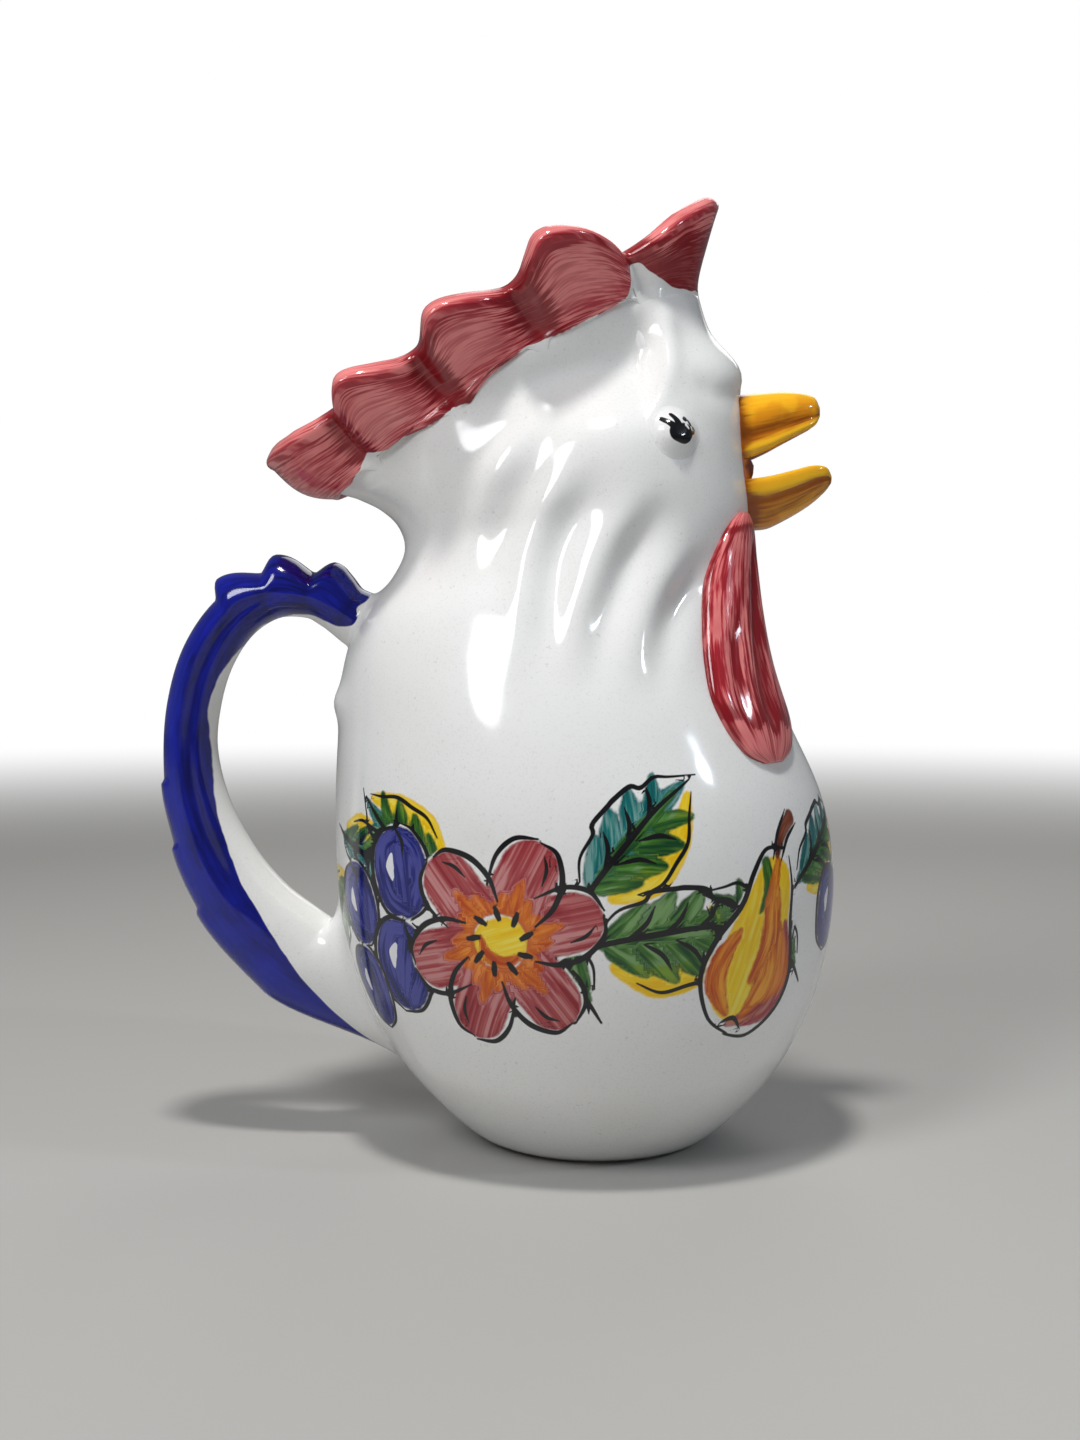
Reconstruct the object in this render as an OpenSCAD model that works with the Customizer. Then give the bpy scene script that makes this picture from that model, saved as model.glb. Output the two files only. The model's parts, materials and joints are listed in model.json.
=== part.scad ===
// Glazed earthenware pitcher in the shape of a standing hen.
// The hen faces +X, +Z is up, and the origin is the centre of the flat foot.

/* [Body] */
// Height from the foot to the tip of the front comb point
total_h = 280; // [240:1:340]
// Length of the belly, front to rear
belly_l = 148; // [120:1:180]
// Width of the belly, side to side
belly_w = 142; // [115:1:175]
// Radius of the flat foot
foot_r = 30; // [24:1:38]
// Thickness of the clay wall
wall = 4.5; // [3:0.5:6]
// Thickness of the clay floor
floor_t = 7; // [5:0.5:12]

/* [Comb] */
// Height of the rear lobe along its slant
rear_lobe_h = 25; // [18:1:32]
// Height of the largest side lobe along its slant
side_lobe_h = 31; // [24:1:38]
// Height left in the valleys between two lobes
valley_h = 11; // [8:1:15]
// Distance that the side lobes lean to the rear
comb_lean = 7; // [0:1:12]
// Distance that the front point leans to the front
point_lean = 3; // [0:0.5:6]
// Thickness of the rounded lip
lip_t = 6; // [4:0.5:8]

/* [Beak] */
// Length of the upper beak from the face to its tip
upper_beak_l = 22; // [16:1:30]
// Length of the lower beak from the face to its tip
lower_beak_l = 25.5; // [16:0.5:30]
// Width of the beak where it leaves the face
beak_w = 25; // [20:1:30]
// Thickness of the trough's clay in the lower beak
trough_t = 3; // [2:0.5:4]

/* [Face and wattles] */
// Diameter of the raised eye
eye_d = 12; // [8:1:16]
// Height of the raised eye
eye_h = 2.4; // [1.5:0.1:4]
// Thickness of a wattle at its middle
wattle_t = 6.5; // [4:0.5:9]
// Depth of the groove along a wattle
wattle_groove = 1.5; // [0.5:0.5:3]

/* [Handle] */
// Reach of the handle behind the belly
handle_reach = 52; // [46:1:62]
// Thickness of the grip, seen from the side
grip_t = 16; // [12:1:20]
// Width of the grip
grip_w = 22; // [16:1:28]
// Width of the handle where it meets the wall
root_w = 26; // [20:1:34]
// Height of the feather bumps on top of the grip
feather_h = 3.5; // [1:0.5:5]
// Height of the upper root where it meets the neck
upper_root_h = 19; // [14:1:24]
// Height of the lower root where it meets the belly
lower_root_h = 40; // [30:1:46]

/* [Hidden] */
// Gap left at each seat on the curved wall
seat_gap = 0.3;
// Thickness left at the rim of a raised pad
pad_edge_t = 0.8;

glaze = "ivory";
rose = "indianred";
yolk = "orange";
cobalt = "mediumblue";

half_l = belly_l / 2;
half_w = belly_w / 2;

// One row for each ring of the wall above the foot: rear x and z, front x and z, half width, arch
// and skew. The first five are shares of the belly's half length, the height and the belly's half
// width, the arch is a share of the height, and the skew moves the widest place to the front.
ring_shares = [
    [-0.500, 0.011, 0.490, 0.011, 0.510, 0.000, 0.00],
    [-0.635, 0.043, 0.620, 0.043, 0.650, 0.000, 0.00],
    [-0.800, 0.093, 0.770, 0.093, 0.805, 0.000, 0.00],
    [-0.940, 0.161, 0.890, 0.161, 0.925, 0.000, 0.00],
    [-1.020, 0.232, 0.950, 0.232, 0.980, 0.000, 0.00],
    [-1.045, 0.304, 0.960, 0.304, 1.000, 0.000, 0.00],
    [-1.047, 0.375, 0.905, 0.375, 0.980, 0.000, 0.00],
    [-1.034, 0.446, 0.784, 0.446, 0.908, 0.000, 0.00],
    [-1.014, 0.507, 0.682, 0.507, 0.817, 0.000, 0.00],
    [-0.950, 0.557, 0.628, 0.563, 0.735, 0.000, 0.00],
    [-0.825, 0.598, 0.608, 0.618, 0.665, 0.000, 0.03],
    [-0.768, 0.629, 0.619, 0.675, 0.620, 0.000, 0.06],
    [-0.790, 0.654, 0.603, 0.718, 0.600, 0.000, 0.08],
    [-0.858, 0.672, 0.590, 0.768, 0.565, 0.004, 0.08],
    [-0.948, 0.684, 0.578, 0.818, 0.500, 0.010, 0.04],
    [-0.995, 0.688, 0.462, 0.858, 0.455, 0.018, 0.02],
    [-1.040, 0.691, 0.407, 0.903, 0.423, 0.023, 0.00]];

stations = concat(
    [[-foot_r, 0, foot_r, 0, foot_r, 0, 0]],
    [for (r = ring_shares) [
        r[0] * half_l, r[1] * total_h, r[2] * half_l, r[3] * total_h,
        r[4] * half_w, r[5] * total_h, r[6]]]);
top_s = len(stations) - 1;
// Share by which an arched ring stands higher at its front than at its rear
arch_skew = 0.8;

// The wall's grid: columns around, and rows for each station
around = 48;
rows_each = 2;
rows = top_s * rows_each;

// The throat is a hole in the face, from one station to the next and a column to each side
throat_low_s = 12;
throat_high_s = 13;

// Halvings that place a point on the wall, and the steps that measure its slope
halvings = 18;
probe_s = 0.02;
probe_a = 0.5;

// Catmull-Rom curve through the rows of a table
function spline(p0, p1, p2, p3, u) =
    ((2 * p1) + (p2 - p0) * u + (2 * p0 - 5 * p1 + 4 * p2 - p3) * pow(u, 2)
        + (3 * p1 - p0 - 3 * p2 + p3) * pow(u, 3)) / 2;
function along(table, s) =
    let (last = len(table) - 1, i = max(0, min(floor(s), last - 1)))
    spline(table[max(i - 1, 0)], table[i], table[i + 1], table[min(i + 2, last)], s - i);

// Point of the wall at station s and angle a, 0 at the front and 180 at the rear
function wall_point(s, a, inset = 0) =
    let (
        r = along(stations, s),
        rear = [r[0], r[1]],
        front = [r[2], r[3]],
        middle = (rear + front) / 2,
        way = (front - rear) / norm(front - rear),
        reach = norm(front - rear) / 2 - inset,
        side = (r[4] - inset) * sin(a) * (1 + r[6] * cos(a)),
        rise = r[5] * pow(sin(a), 2) * (1 + arch_skew * cos(a)),
        p = middle + way * reach * cos(a) + [-way[1], way[0]] * rise)
    [p[0], side, p[1]];

// Outward unit normal of the wall
function wall_normal(s, a) =
    let (
        up = wall_point(min(s + probe_s, top_s), a) - wall_point(max(s - probe_s, 0), a),
        turn = wall_point(s, a + probe_a) - wall_point(s, a - probe_a),
        n = cross(turn, up))
    n / norm(n);
function seat_point(s, a, lift) = wall_point(s, a) + wall_normal(s, a) * (seat_gap + lift);

// Station and angle of the near wall's point that the side view shows at [x, z]
function side_station(p, low, high, tries = halvings) =
    let (
        mid = (low + high) / 2,
        r = along(stations, mid),
        above = (r[2] - r[0]) * (p[1] - r[1]) - (r[3] - r[1]) * (p[0] - r[0]))
    tries == 0 ? mid
    : above > 0 ? side_station(p, mid, high, tries - 1)
    : side_station(p, low, mid, tries - 1);
function side_angle(s, p) =
    let (
        r = along(stations, s),
        rear = [r[0], r[1]],
        front = [r[2], r[3]],
        reach = norm(front - rear) / 2)
    acos(((p - (rear + front) / 2) * (front - rear)) / (2 * pow(reach, 2)));
function side_seat(p, low, high, lift) =
    let (s = side_station(p, low, high))
    seat_point(s, side_angle(s, p), lift);

// Seat at half breadth y and height z on the front of the wall, face 1, or its rear, face -1
function end_angle(s, y, face) =
    let (lean = asin(y / along(stations, s)[4]))
    face > 0 ? lean : 180 - lean;
function end_seat(y, z, face, low, high, tries = halvings) =
    let (mid = (low + high) / 2, a = end_angle(mid, y, face))
    tries == 0 ? seat_point(mid, a, 0)
    : wall_point(mid, a)[2] < z ? end_seat(y, z, face, mid, high, tries - 1)
    : end_seat(y, z, face, low, mid, tries - 1);

// Two triangles for each cell between grid rows k and k + 1, and columns j and j + 1
function cell(a, b, c, d) = [[a, b, c], [c, b, d]];
function flat(lists) = [for (list = lists) for (item = list) item];
function flip(faces) = [for (f = faces) [f[0], f[2], f[1]]];

// Closed tube through rings of equally many points, capped at both ends
module tube(rings, start, finish) {
    n = len(rings[0]);
    last = len(rings) - 1;
    points = concat(flat(rings), [start, finish]);
    sides = flat([for (k = [0 : last - 1]) for (j = [0 : n - 1])
        cell(k * n + j, (k + 1) * n + j, k * n + (j + 1) % n, (k + 1) * n + (j + 1) % n)]);
    caps = flat([for (j = [0 : n - 1])
        [[len(points) - 2, j, (j + 1) % n],
         [len(points) - 1, last * n + (j + 1) % n, last * n + j]]]);
    polyhedron(points = points, faces = concat(sides, caps));
}

// Closed slab between an upper and a lower grid of points of the same size
module slab(upper, lower) {
    n = len(upper[0]);
    m = len(upper);
    low = m * n;
    points = concat(flat(upper), flat(lower));
    top = flat([for (k = [0 : m - 2]) for (j = [0 : n - 2])
        cell(k * n + j, (k + 1) * n + j, k * n + j + 1, (k + 1) * n + j + 1)]);
    bottom = [for (f = flip(top)) [f[0] + low, f[1] + low, f[2] + low]];
    ends = flat([for (j = [0 : n - 2]) concat(
        cell(j, j + 1, low + j, low + j + 1),
        flip(cell(low - n + j, low - n + j + 1, 2 * low - n + j, 2 * low - n + j + 1)))]);
    edges = flat([for (k = [0 : m - 2]) concat(
        flip(cell(k * n, (k + 1) * n, low + k * n, low + (k + 1) * n)),
        cell((k + 1) * n - 1, (k + 2) * n - 1, low + (k + 1) * n - 1, low + (k + 2) * n - 1))]);
    polyhedron(points = points, faces = concat(top, bottom, ends, edges));
}

// Body: one wall grid up the outside, over the rim and down the inside to the floor
floor_s = side_station([0, floor_t], 0, top_s / 2);
inner_rows = [for (k = [rows : -1 : 0]) if (k / rows_each > floor_s + 1 / (2 * rows_each)) k];

module body() {
    n = around;
    rings = concat(
        [for (k = [0 : rows]) [for (j = [0 : n - 1]) wall_point(k / rows_each, j * 360 / n)]],
        [for (k = inner_rows) [for (j = [0 : n - 1]) wall_point(k / rows_each, j * 360 / n, wall)]],
        [[for (j = [0 : n - 1]) wall_point(floor_s, j * 360 / n, wall)]]);
    last = len(rings) - 1;
    points = concat(flat(rings), [[0, 0, 0], [0, 0, floor_t]]);
    low = throat_low_s * rows_each;
    high = throat_high_s * rows_each;
    // Row number of the inner ring that backs outer row k
    function back(k) = 2 * rows + 1 - k;
    function at(k, j) = k * n + (j + n) % n;
    function open(k, j) = (j == 0 || j == n - 1)
        && ((k >= low && k < high) || (k >= back(high) && k < back(low)));
    sides = flat([for (k = [0 : last - 1]) for (j = [0 : n - 1]) if (!open(k, j))
        cell(at(k, j), at(k + 1, j), at(k, j + 1), at(k + 1, j + 1))]);
    caps = flat([for (j = [0 : n - 1])
        [[len(points) - 2, at(0, j), at(0, j + 1)],
         [len(points) - 1, at(last, j + 1), at(last, j)]]]);
    sill = flat([for (j = [-1 : 0]) concat(
        flip(cell(at(low, j), at(low, j + 1), at(back(low), j), at(back(low), j + 1))),
        cell(at(high, j), at(high, j + 1), at(back(high), j), at(back(high), j + 1)))]);
    jambs = flat([for (k = [low : high - 1]) concat(
        cell(at(k, -1), at(k + 1, -1), at(back(k), -1), at(back(k + 1), -1)),
        flip(cell(at(k, 1), at(k + 1, 1), at(back(k), 1), at(back(k + 1), 1))))]);
    color(glaze) polyhedron(points = points, faces = concat(sides, caps, sill, jambs));
}

// Comb: the mouth's rim flares out and up in lobes, with valleys at these angles from the front
valleys = [46, 72, 103, 138];
side_shares = [1, 0.8, 0.8];
flare = 36;
peak_share = 0.68;
comb_around = 96;
lip_steps = 4;

rim = stations[top_s];
rim_way = [rim[2] - rim[0], rim[3] - rim[1]] / norm([rim[2] - rim[0], rim[3] - rim[1]]);
rim_reach = norm([rim[2] - rim[0], rim[3] - rim[1]]) / 2;
rim_up = [-rim_way[1], 0, rim_way[0]];
function rim_out(a) =
    let (
        x = cos(a) * rim[4],
        y = sin(a) * rim_reach,
        out = [rim_way[0] * x, y, rim_way[1] * x])
    out / norm(out);
function lobe_way(a) = cos(flare) * rim_up + sin(flare) * rim_out(a);
function lobe_out(a) = cos(flare) * rim_out(a) - sin(flare) * rim_up;

// The front point leans and ends at the pitcher's full height
point_h = (total_h - rim[3] - rim_way[1] * point_lean + lobe_out(0)[2] * lip_t / 2) / lobe_way(0)[2];

// Powers that shape the front point, the rear lobe, the side lobes and the front point's lean
point_power = 1.1;
rear_power = 0.8;
side_power = 0.7;
lean_power = 8;
// Heights on a lobe at which its two sheets have a point
sheet_shares = [1 / 3, 2 / 3];

// Swell of a lobe over its share of breadth u, with its peak at p
function swell(u, p) = sin(180 * (u < p ? u / p / 2 : 1 - (1 - u) / (1 - p) / 2));
function lobe_h(a) =
    let (b = a > 180 ? 360 - a : abs(a))
    b < valleys[0] ? valley_h + (point_h - valley_h) * pow(1 - b / valleys[0], point_power)
    : b >= valleys[3] ? valley_h + (rear_lobe_h - valley_h)
        * pow(sin(90 * (b - valleys[3]) / (180 - valleys[3])), rear_power)
    : let (
        i = b < valleys[1] ? 0 : b < valleys[2] ? 1 : 2,
        u = (b - valleys[i]) / (valleys[i + 1] - valleys[i]))
    valley_h + (side_lobe_h * side_shares[i] - valley_h) * pow(swell(u, peak_share), side_power);

// Closed section of the comb at angle a: up the outside, round the lip and down the inside
function comb_section(a) =
    let (
        straight = lobe_h(a) - lip_t / 2,
        lean = point_lean * pow(max(0, cos(a)), lean_power) - comb_lean * pow(sin(a), 2),
        outer = wall_point(top_s, a),
        inner = wall_point(top_s, a, wall),
        way = lobe_way(a),
        out = lobe_out(a),
        back = [rim_way[0], 0, rim_way[1]] * lean,
        sheets = [for (f = sheet_shares)
            let (
                on = outer + way * straight * f + back * pow(f, 2),
                t = wall + (lip_t - wall) * f)
            [on, on - out * t]],
        crown = outer + way * straight + back)
    concat(
        [outer, sheets[0][0], sheets[1][0]],
        [for (i = [0 : lip_steps])
            let (turn = 180 * i / lip_steps)
            crown - out * (1 - cos(turn)) * lip_t / 2 + way * sin(turn) * lip_t / 2],
        [sheets[1][1], sheets[0][1], inner]);
function section_middle(a) =
    let (p = comb_section(a))
    (p[1] + p[len(p) - 2] + p[2] + p[len(p) - 3]) / 4;

module comb(from, to) {
    // An even number of steps, so that a section stands at the middle
    steps = 2 * round((to - from) / 2 * comb_around / 360);
    rings = [for (i = [0 : steps]) comb_section(to + (from - to) * i / steps)];
    color(rose) tube(rings, section_middle(to), section_middle(from));
}
module comb_rim() comb(valleys[0], 360 - valleys[0]);
module comb_front_point() comb(-valleys[0], valleys[0]);

// Upper beak: rows of length, middle height, half height and half width
// They are shares of the beak's length, the pitcher's height, and the beak's width
upper_beak_shares = [
    [0.00, 0.7585, 0.400, 0.500],
    [0.25, 0.7650, 0.360, 0.420],
    [0.50, 0.7710, 0.300, 0.330],
    [0.75, 0.7760, 0.225, 0.225],
    [0.92, 0.7785, 0.145, 0.135],
    [1.00, 0.7780, 0.050, 0.050]];
beak_around = 20;
face_x = stations[throat_high_s][2];
// Lowest station of the face that carries the beak
face_s = throat_low_s - 2;
// Rings that lay a piece's root along the curved wall, as shares of its root's outline
root_shares = [0.35, 0.7, 1];
// Where the rounded tip of the upper beak ends
nib_share = 1.01;

// Ring of the upper beak at a row of the table, drawn in by a share
function upper_beak_ring(r, share = 1) =
    [for (j = [0 : beak_around - 1])
        let (
            turn = j * 360 / beak_around,
            y = share * r[3] * beak_w * cos(turn),
            z = r[1] * total_h + share * r[2] * beak_w * sin(turn))
        r[0] == 0 ? end_seat(y, z, 1, face_s, top_s)
        : [face_x + r[0] * upper_beak_l, y, z]];

module upper_beak() {
    root = upper_beak_shares[0];
    last = len(upper_beak_shares) - 1;
    color(yolk) tube(
        concat(
            [for (share = root_shares) upper_beak_ring(root, share)],
            [for (k = [1 : last]) upper_beak_ring(upper_beak_shares[k])]),
        end_seat(0, root[1] * total_h, 1, face_s, top_s),
        [face_x + upper_beak_l * nib_share, 0, upper_beak_shares[last][1] * total_h]);
}

// Lower beak: a trough; rows of length, rim height, bottom height and half width
lower_beak_shares = [
    [0.00, 0.7030, 0.6515, 0.480],
    [0.25, 0.7065, 0.6550, 0.430],
    [0.50, 0.7110, 0.6635, 0.360],
    [0.75, 0.7155, 0.6750, 0.275],
    [0.92, 0.7165, 0.6870, 0.190],
    [1.00, 0.7130, 0.6980, 0.135]];
trough_steps = 12;

function trough_row(r, inset) =
    [for (j = [0 : trough_steps])
        let (
            turn = 180 * j / trough_steps,
            deep = max((r[1] - r[2]) * total_h - inset, 0),
            y = -max(r[3] * beak_w - inset, 0) * cos(turn),
            z = r[1] * total_h - deep * sin(turn))
        r[0] == 0 ? end_seat(y, z, 1, face_s, top_s)
        : [face_x + r[0] * lower_beak_l, y, z]];

module lower_beak() color(yolk) slab(
    [for (r = lower_beak_shares) trough_row(r, 0)],
    [for (r = lower_beak_shares) trough_row(r, trough_t)]);

// Wattle: a pad on the neck; rows of station, middle angle and half breadth in degrees
wattle_rows = [
    [11.80, 15, 3],
    [11.60, 17, 6],
    [11.10, 21, 10],
    [10.40, 27, 14.5],
    [ 9.60, 31, 16.5],
    [ 8.80, 33, 16.5],
    [ 8.10, 33, 14.5],
    [ 7.65, 33, 11],
    [ 7.40, 33, 5.5]];
wattle_across = 10;
// Share of the dome's length that each end leaves out, the power that flattens it, and the
// share of the breadth that the groove takes
wattle_end_share = 0.04;
wattle_power = 0.4;
groove_share = 1 / 3;

function wattle_lift(k, j) =
    let (
        u = 2 * j / wattle_across - 1,
        v = k / (len(wattle_rows) - 1),
        rise = sin(180 * (wattle_end_share + (1 - 2 * wattle_end_share) * v)),
        dome = sqrt(max(0, 1 - pow(u, 2))) * pow(rise, wattle_power),
        groove = max(0, 1 - abs(u) / groove_share) * sin(180 * v))
    pad_edge_t + (wattle_t - pad_edge_t) * dome - wattle_groove * groove;

module wattle(side) {
    function row(k, raised) =
        let (r = wattle_rows[k])
        [for (j = [0 : wattle_across])
            let (a = side * (r[1] + r[2] * (2 * j / wattle_across - 1)))
            seat_point(r[0], a, raised ? wattle_lift(k, j) : 0)];
    steps = len(wattle_rows) - 1;
    upper = [for (k = [0 : steps]) row(side > 0 ? steps - k : k, true)];
    lower = [for (k = [0 : steps]) row(side > 0 ? steps - k : k, false)];
    color(rose) slab(upper, lower);
}
module wattle_left() wattle(1);
module wattle_right() wattle(-1);

// Eye: a low dome on the cheek, at shares of the belly's half length and the height
eye_shares = [0.287, 0.739];
eye_ring_shares = [0.92, 0.72, 0.4];
eye_around = 20;

module eye(side) {
    middle = [eye_shares[0] * half_l, eye_shares[1] * total_h];
    function spot(share, turn, lift) =
        let (
            p = middle + [cos(turn), sin(turn)] * share * eye_d / 2,
            on = side_seat(p, throat_low_s, top_s, lift))
        [on[0], side * on[1], on[2]];
    function ring(share, lift) =
        [for (j = [0 : eye_around - 1]) spot(share, -side * j * 360 / eye_around, lift)];
    dome = [for (f = eye_ring_shares)
        ring(f, pad_edge_t + (eye_h - pad_edge_t) * sqrt(1 - pow(f, 2)))];
    color(glaze) tube(
        concat([ring(1, 0), ring(1, pad_edge_t)], dome), spot(0, 0, 0), spot(0, 0, eye_h));
}
module eye_left() eye(1);
module eye_right() eye(-1);

// Handle: rows of reach behind the belly, height and thickness
// They are shares of the reach, the pitcher's height and the grip's thickness
handle_shares = [
    [0.150, 0.586, 1.00],
    [0.370, 0.584, 1.00],
    [0.580, 0.560, 1.00],
    [0.735, 0.519, 1.00],
    [0.820, 0.469, 0.98],
    [0.845, 0.415, 1.00],
    [0.795, 0.352, 1.20],
    [0.665, 0.288, 1.50],
    [0.475, 0.234, 1.76],
    [0.225, 0.190, 2.10]];
upper_root_share = 0.564;
lower_root_share = 0.178;
// Stations between which the lower and the upper root meet the wall
lower_root_s = [2, 8];
upper_root_s = [8, 12];
handle_around = 20;
handle_steps = 28;
feathers = 3;
feather_span_share = 0.26;
rear_x = min([for (r = stations) r[0]]);

function handle_middle(w) =
    let (r = along(handle_shares, w * (len(handle_shares) - 1)))
    [rear_x - r[0] * handle_reach, 0, r[1] * total_h];
function handle_ring(w) =
    let (
        r = along(handle_shares, w * (len(handle_shares) - 1)),
        ahead = handle_middle(min(1, w + probe_s)) - handle_middle(max(0, w - probe_s)),
        out = [ahead[2], 0, -ahead[0]] / norm(ahead),
        wave = abs(sin(180 * feathers * w / feather_span_share)),
        feather = w < feather_span_share ? feather_h * wave : 0,
        half_t = r[2] * grip_t / 2)
    [for (j = [0 : handle_around - 1])
        let (turn = j * 360 / handle_around)
        handle_middle(w) + out * cos(turn) * (half_t + max(0, cos(turn)) * feather)
            + [0, 1, 0] * sin(turn) * grip_w / 2];
function root_ring(z, half_h, at_s, share) =
    [for (j = [0 : handle_around - 1])
        let (
            turn = j * 360 / handle_around,
            y = share * sin(turn) * root_w / 2)
        end_seat(y, z + share * half_h * cos(turn), -1, at_s[0], at_s[1])];

module handle() {
    high_z = upper_root_share * total_h;
    low_z = lower_root_share * total_h;
    last = len(root_shares) - 1;
    color(cobalt) tube(
        concat(
            [for (share = root_shares) root_ring(high_z, upper_root_h / 2, upper_root_s, share)],
            [for (i = [0 : handle_steps]) handle_ring(i / handle_steps)],
            [for (k = [last : -1 : 0])
                root_ring(low_z, -lower_root_h / 2, lower_root_s, root_shares[k])]),
        end_seat(0, high_z, -1, upper_root_s[0], upper_root_s[1]),
        end_seat(0, low_z, -1, lower_root_s[0], lower_root_s[1]));
}

body();
comb_rim();
comb_front_point();
upper_beak();
lower_beak();
wattle_left();
wattle_right();
eye_left();
eye_right();
handle();
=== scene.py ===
import json
import math

import bpy
import numpy as np
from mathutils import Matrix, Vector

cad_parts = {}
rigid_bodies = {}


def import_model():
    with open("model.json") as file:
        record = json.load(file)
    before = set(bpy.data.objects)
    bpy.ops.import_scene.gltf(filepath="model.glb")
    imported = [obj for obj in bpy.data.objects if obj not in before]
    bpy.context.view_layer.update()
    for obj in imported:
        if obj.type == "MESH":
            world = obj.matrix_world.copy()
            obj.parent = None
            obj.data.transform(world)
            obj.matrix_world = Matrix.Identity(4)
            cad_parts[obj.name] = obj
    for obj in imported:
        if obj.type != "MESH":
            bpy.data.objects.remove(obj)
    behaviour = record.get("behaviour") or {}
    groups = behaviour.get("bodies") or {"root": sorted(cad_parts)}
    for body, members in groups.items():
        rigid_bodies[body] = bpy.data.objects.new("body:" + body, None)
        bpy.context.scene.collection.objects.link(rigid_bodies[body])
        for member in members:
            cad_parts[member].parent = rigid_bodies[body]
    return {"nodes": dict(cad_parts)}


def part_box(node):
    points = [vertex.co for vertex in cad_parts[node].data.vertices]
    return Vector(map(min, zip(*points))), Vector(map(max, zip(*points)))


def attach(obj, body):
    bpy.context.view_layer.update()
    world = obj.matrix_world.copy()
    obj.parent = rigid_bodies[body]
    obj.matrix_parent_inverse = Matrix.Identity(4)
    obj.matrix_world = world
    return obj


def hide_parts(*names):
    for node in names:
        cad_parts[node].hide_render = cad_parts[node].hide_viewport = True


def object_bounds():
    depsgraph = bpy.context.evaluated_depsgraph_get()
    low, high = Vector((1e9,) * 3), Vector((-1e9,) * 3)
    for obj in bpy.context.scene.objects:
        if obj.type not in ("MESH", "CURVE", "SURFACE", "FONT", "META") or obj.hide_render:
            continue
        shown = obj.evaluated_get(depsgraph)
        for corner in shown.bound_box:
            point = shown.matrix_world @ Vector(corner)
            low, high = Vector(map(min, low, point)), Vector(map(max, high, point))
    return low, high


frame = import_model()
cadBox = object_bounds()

print("frame loaded:", ", ".join(sorted(frame["nodes"])))

# Lengths are in millimetres up to the point where a mesh is made
mm = 0.001
bodyLow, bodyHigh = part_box("body")
totalHeight = cadBox[1].z / mm
halfWidth = bodyHigh.y / mm

cameraSetup = {
    "place": (-16.5, -550.0, 154.6),
    "pitch": -3.0,      # degrees below the horizon
    "lens": 45.8,
}
stageSetup = {
    "floorRadius": 4000.0,
    "fadeStart": 700.0,  # where the floor starts to fade into the white background
    "fadeEnd": 1900.0,
    "floorColor": (0.46, 0.45, 0.43),
    "floorRoughness": 0.7,
    "worldColor": (0.92, 0.95, 1.0),
    "worldStrength": 0.15,
}
# Each lamp: azimuth from the camera's side (positive to the right), elevation, distance, shape, width, height,
# watts, colour
lamps = {
    "keyLamp": (-14, 75, 1200, "ELLIPSE", 150, 150, 8.8, (1.0, 0.99, 0.97)),
    "windowLamp": (-38, 38, 1150, "ELLIPSE", 330, 560, 5.7, (0.96, 0.98, 1.0)),
    "rightLamp": (66, 26, 1100, "ELLIPSE", 60, 90, 1.5, (0.78, 0.88, 1.0)),
    "rearLamp": (165, 35, 1300, "RECTANGLE", 700, 700, 2.6, (1.0, 0.99, 0.97)),
}


def makeCamera():
    data = bpy.data.cameras.new("photoCamera")
    data.lens = cameraSetup["lens"]
    data.sensor_width = 36.0
    data.clip_start = 0.01
    camera = bpy.data.objects.new("photoCamera", data)
    bpy.context.scene.collection.objects.link(camera)
    camera.location = [v * mm for v in cameraSetup["place"]]
    camera.rotation_euler = (math.radians(90 + cameraSetup["pitch"]), 0, 0)
    bpy.context.scene.camera = camera


class Value:
    # A node's output: +, -, * and / with numbers and other values add math nodes to its tree
    def __init__(self, tree, socket):
        self.tree, self.socket = tree, socket

    def math(self, operation, *others):
        return mathNode(self.tree, operation, self, *others)

    def __add__(self, other):
        return self.math("ADD", other)

    def __sub__(self, other):
        return self.math("SUBTRACT", other)

    def __rsub__(self, other):
        return mathNode(self.tree, "SUBTRACT", other, self)

    def __mul__(self, other):
        return self.math("MULTIPLY", other)

    def __truediv__(self, other):
        return self.math("DIVIDE", other)

    def ramp(self, low, high, outLow=0.0, outHigh=1.0):
        # smooth step from outLow at low to outHigh at high
        node = addNode(self.tree, "ShaderNodeMapRange", self, low, high, outLow, outHigh,
                       interpolation_type="SMOOTHSTEP")
        return Value(self.tree, node.outputs[0])

    def fall(self, low, high):
        return self.ramp(low, high, 1.0, 0.0)


def setInput(tree, socket, value):
    # links a value or socket, or sets a number, colour or material; None leaves the input alone
    if isinstance(value, Value):
        value = value.socket
    if isinstance(value, bpy.types.NodeSocket):
        tree.links.new(value, socket)
    elif value is not None:
        socket.default_value = value


def addNode(tree, kind, *values, named=None, **settings):
    # values go to the inputs in order, and the named ones to the inputs of those names
    node = tree.nodes.new(kind)
    for key, value in settings.items():
        setattr(node, key, value)
    for socket, value in zip(node.inputs, values):
        setInput(tree, socket, value)
    for key, value in (named or {}).items():
        setInput(tree, node.inputs[key], value)
    return node


def mathNode(tree, operation, *values):
    return Value(tree, addNode(tree, "ShaderNodeMath", *values, operation=operation).outputs[0])


def mixColor(share, first, second):
    # first and second are colour triples or sockets
    node = addNode(share.tree, "ShaderNodeMix", data_type="RGBA")
    for index, value in zip((0, 6, 7), (share, first, second)):
        setInput(share.tree, node.inputs[index], (*value, 1.0) if isinstance(value, tuple) else value)
    return node.outputs[2]


def objectPlace(tree):
    return addNode(tree, "ShaderNodeTexCoord").outputs["Object"]


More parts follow.
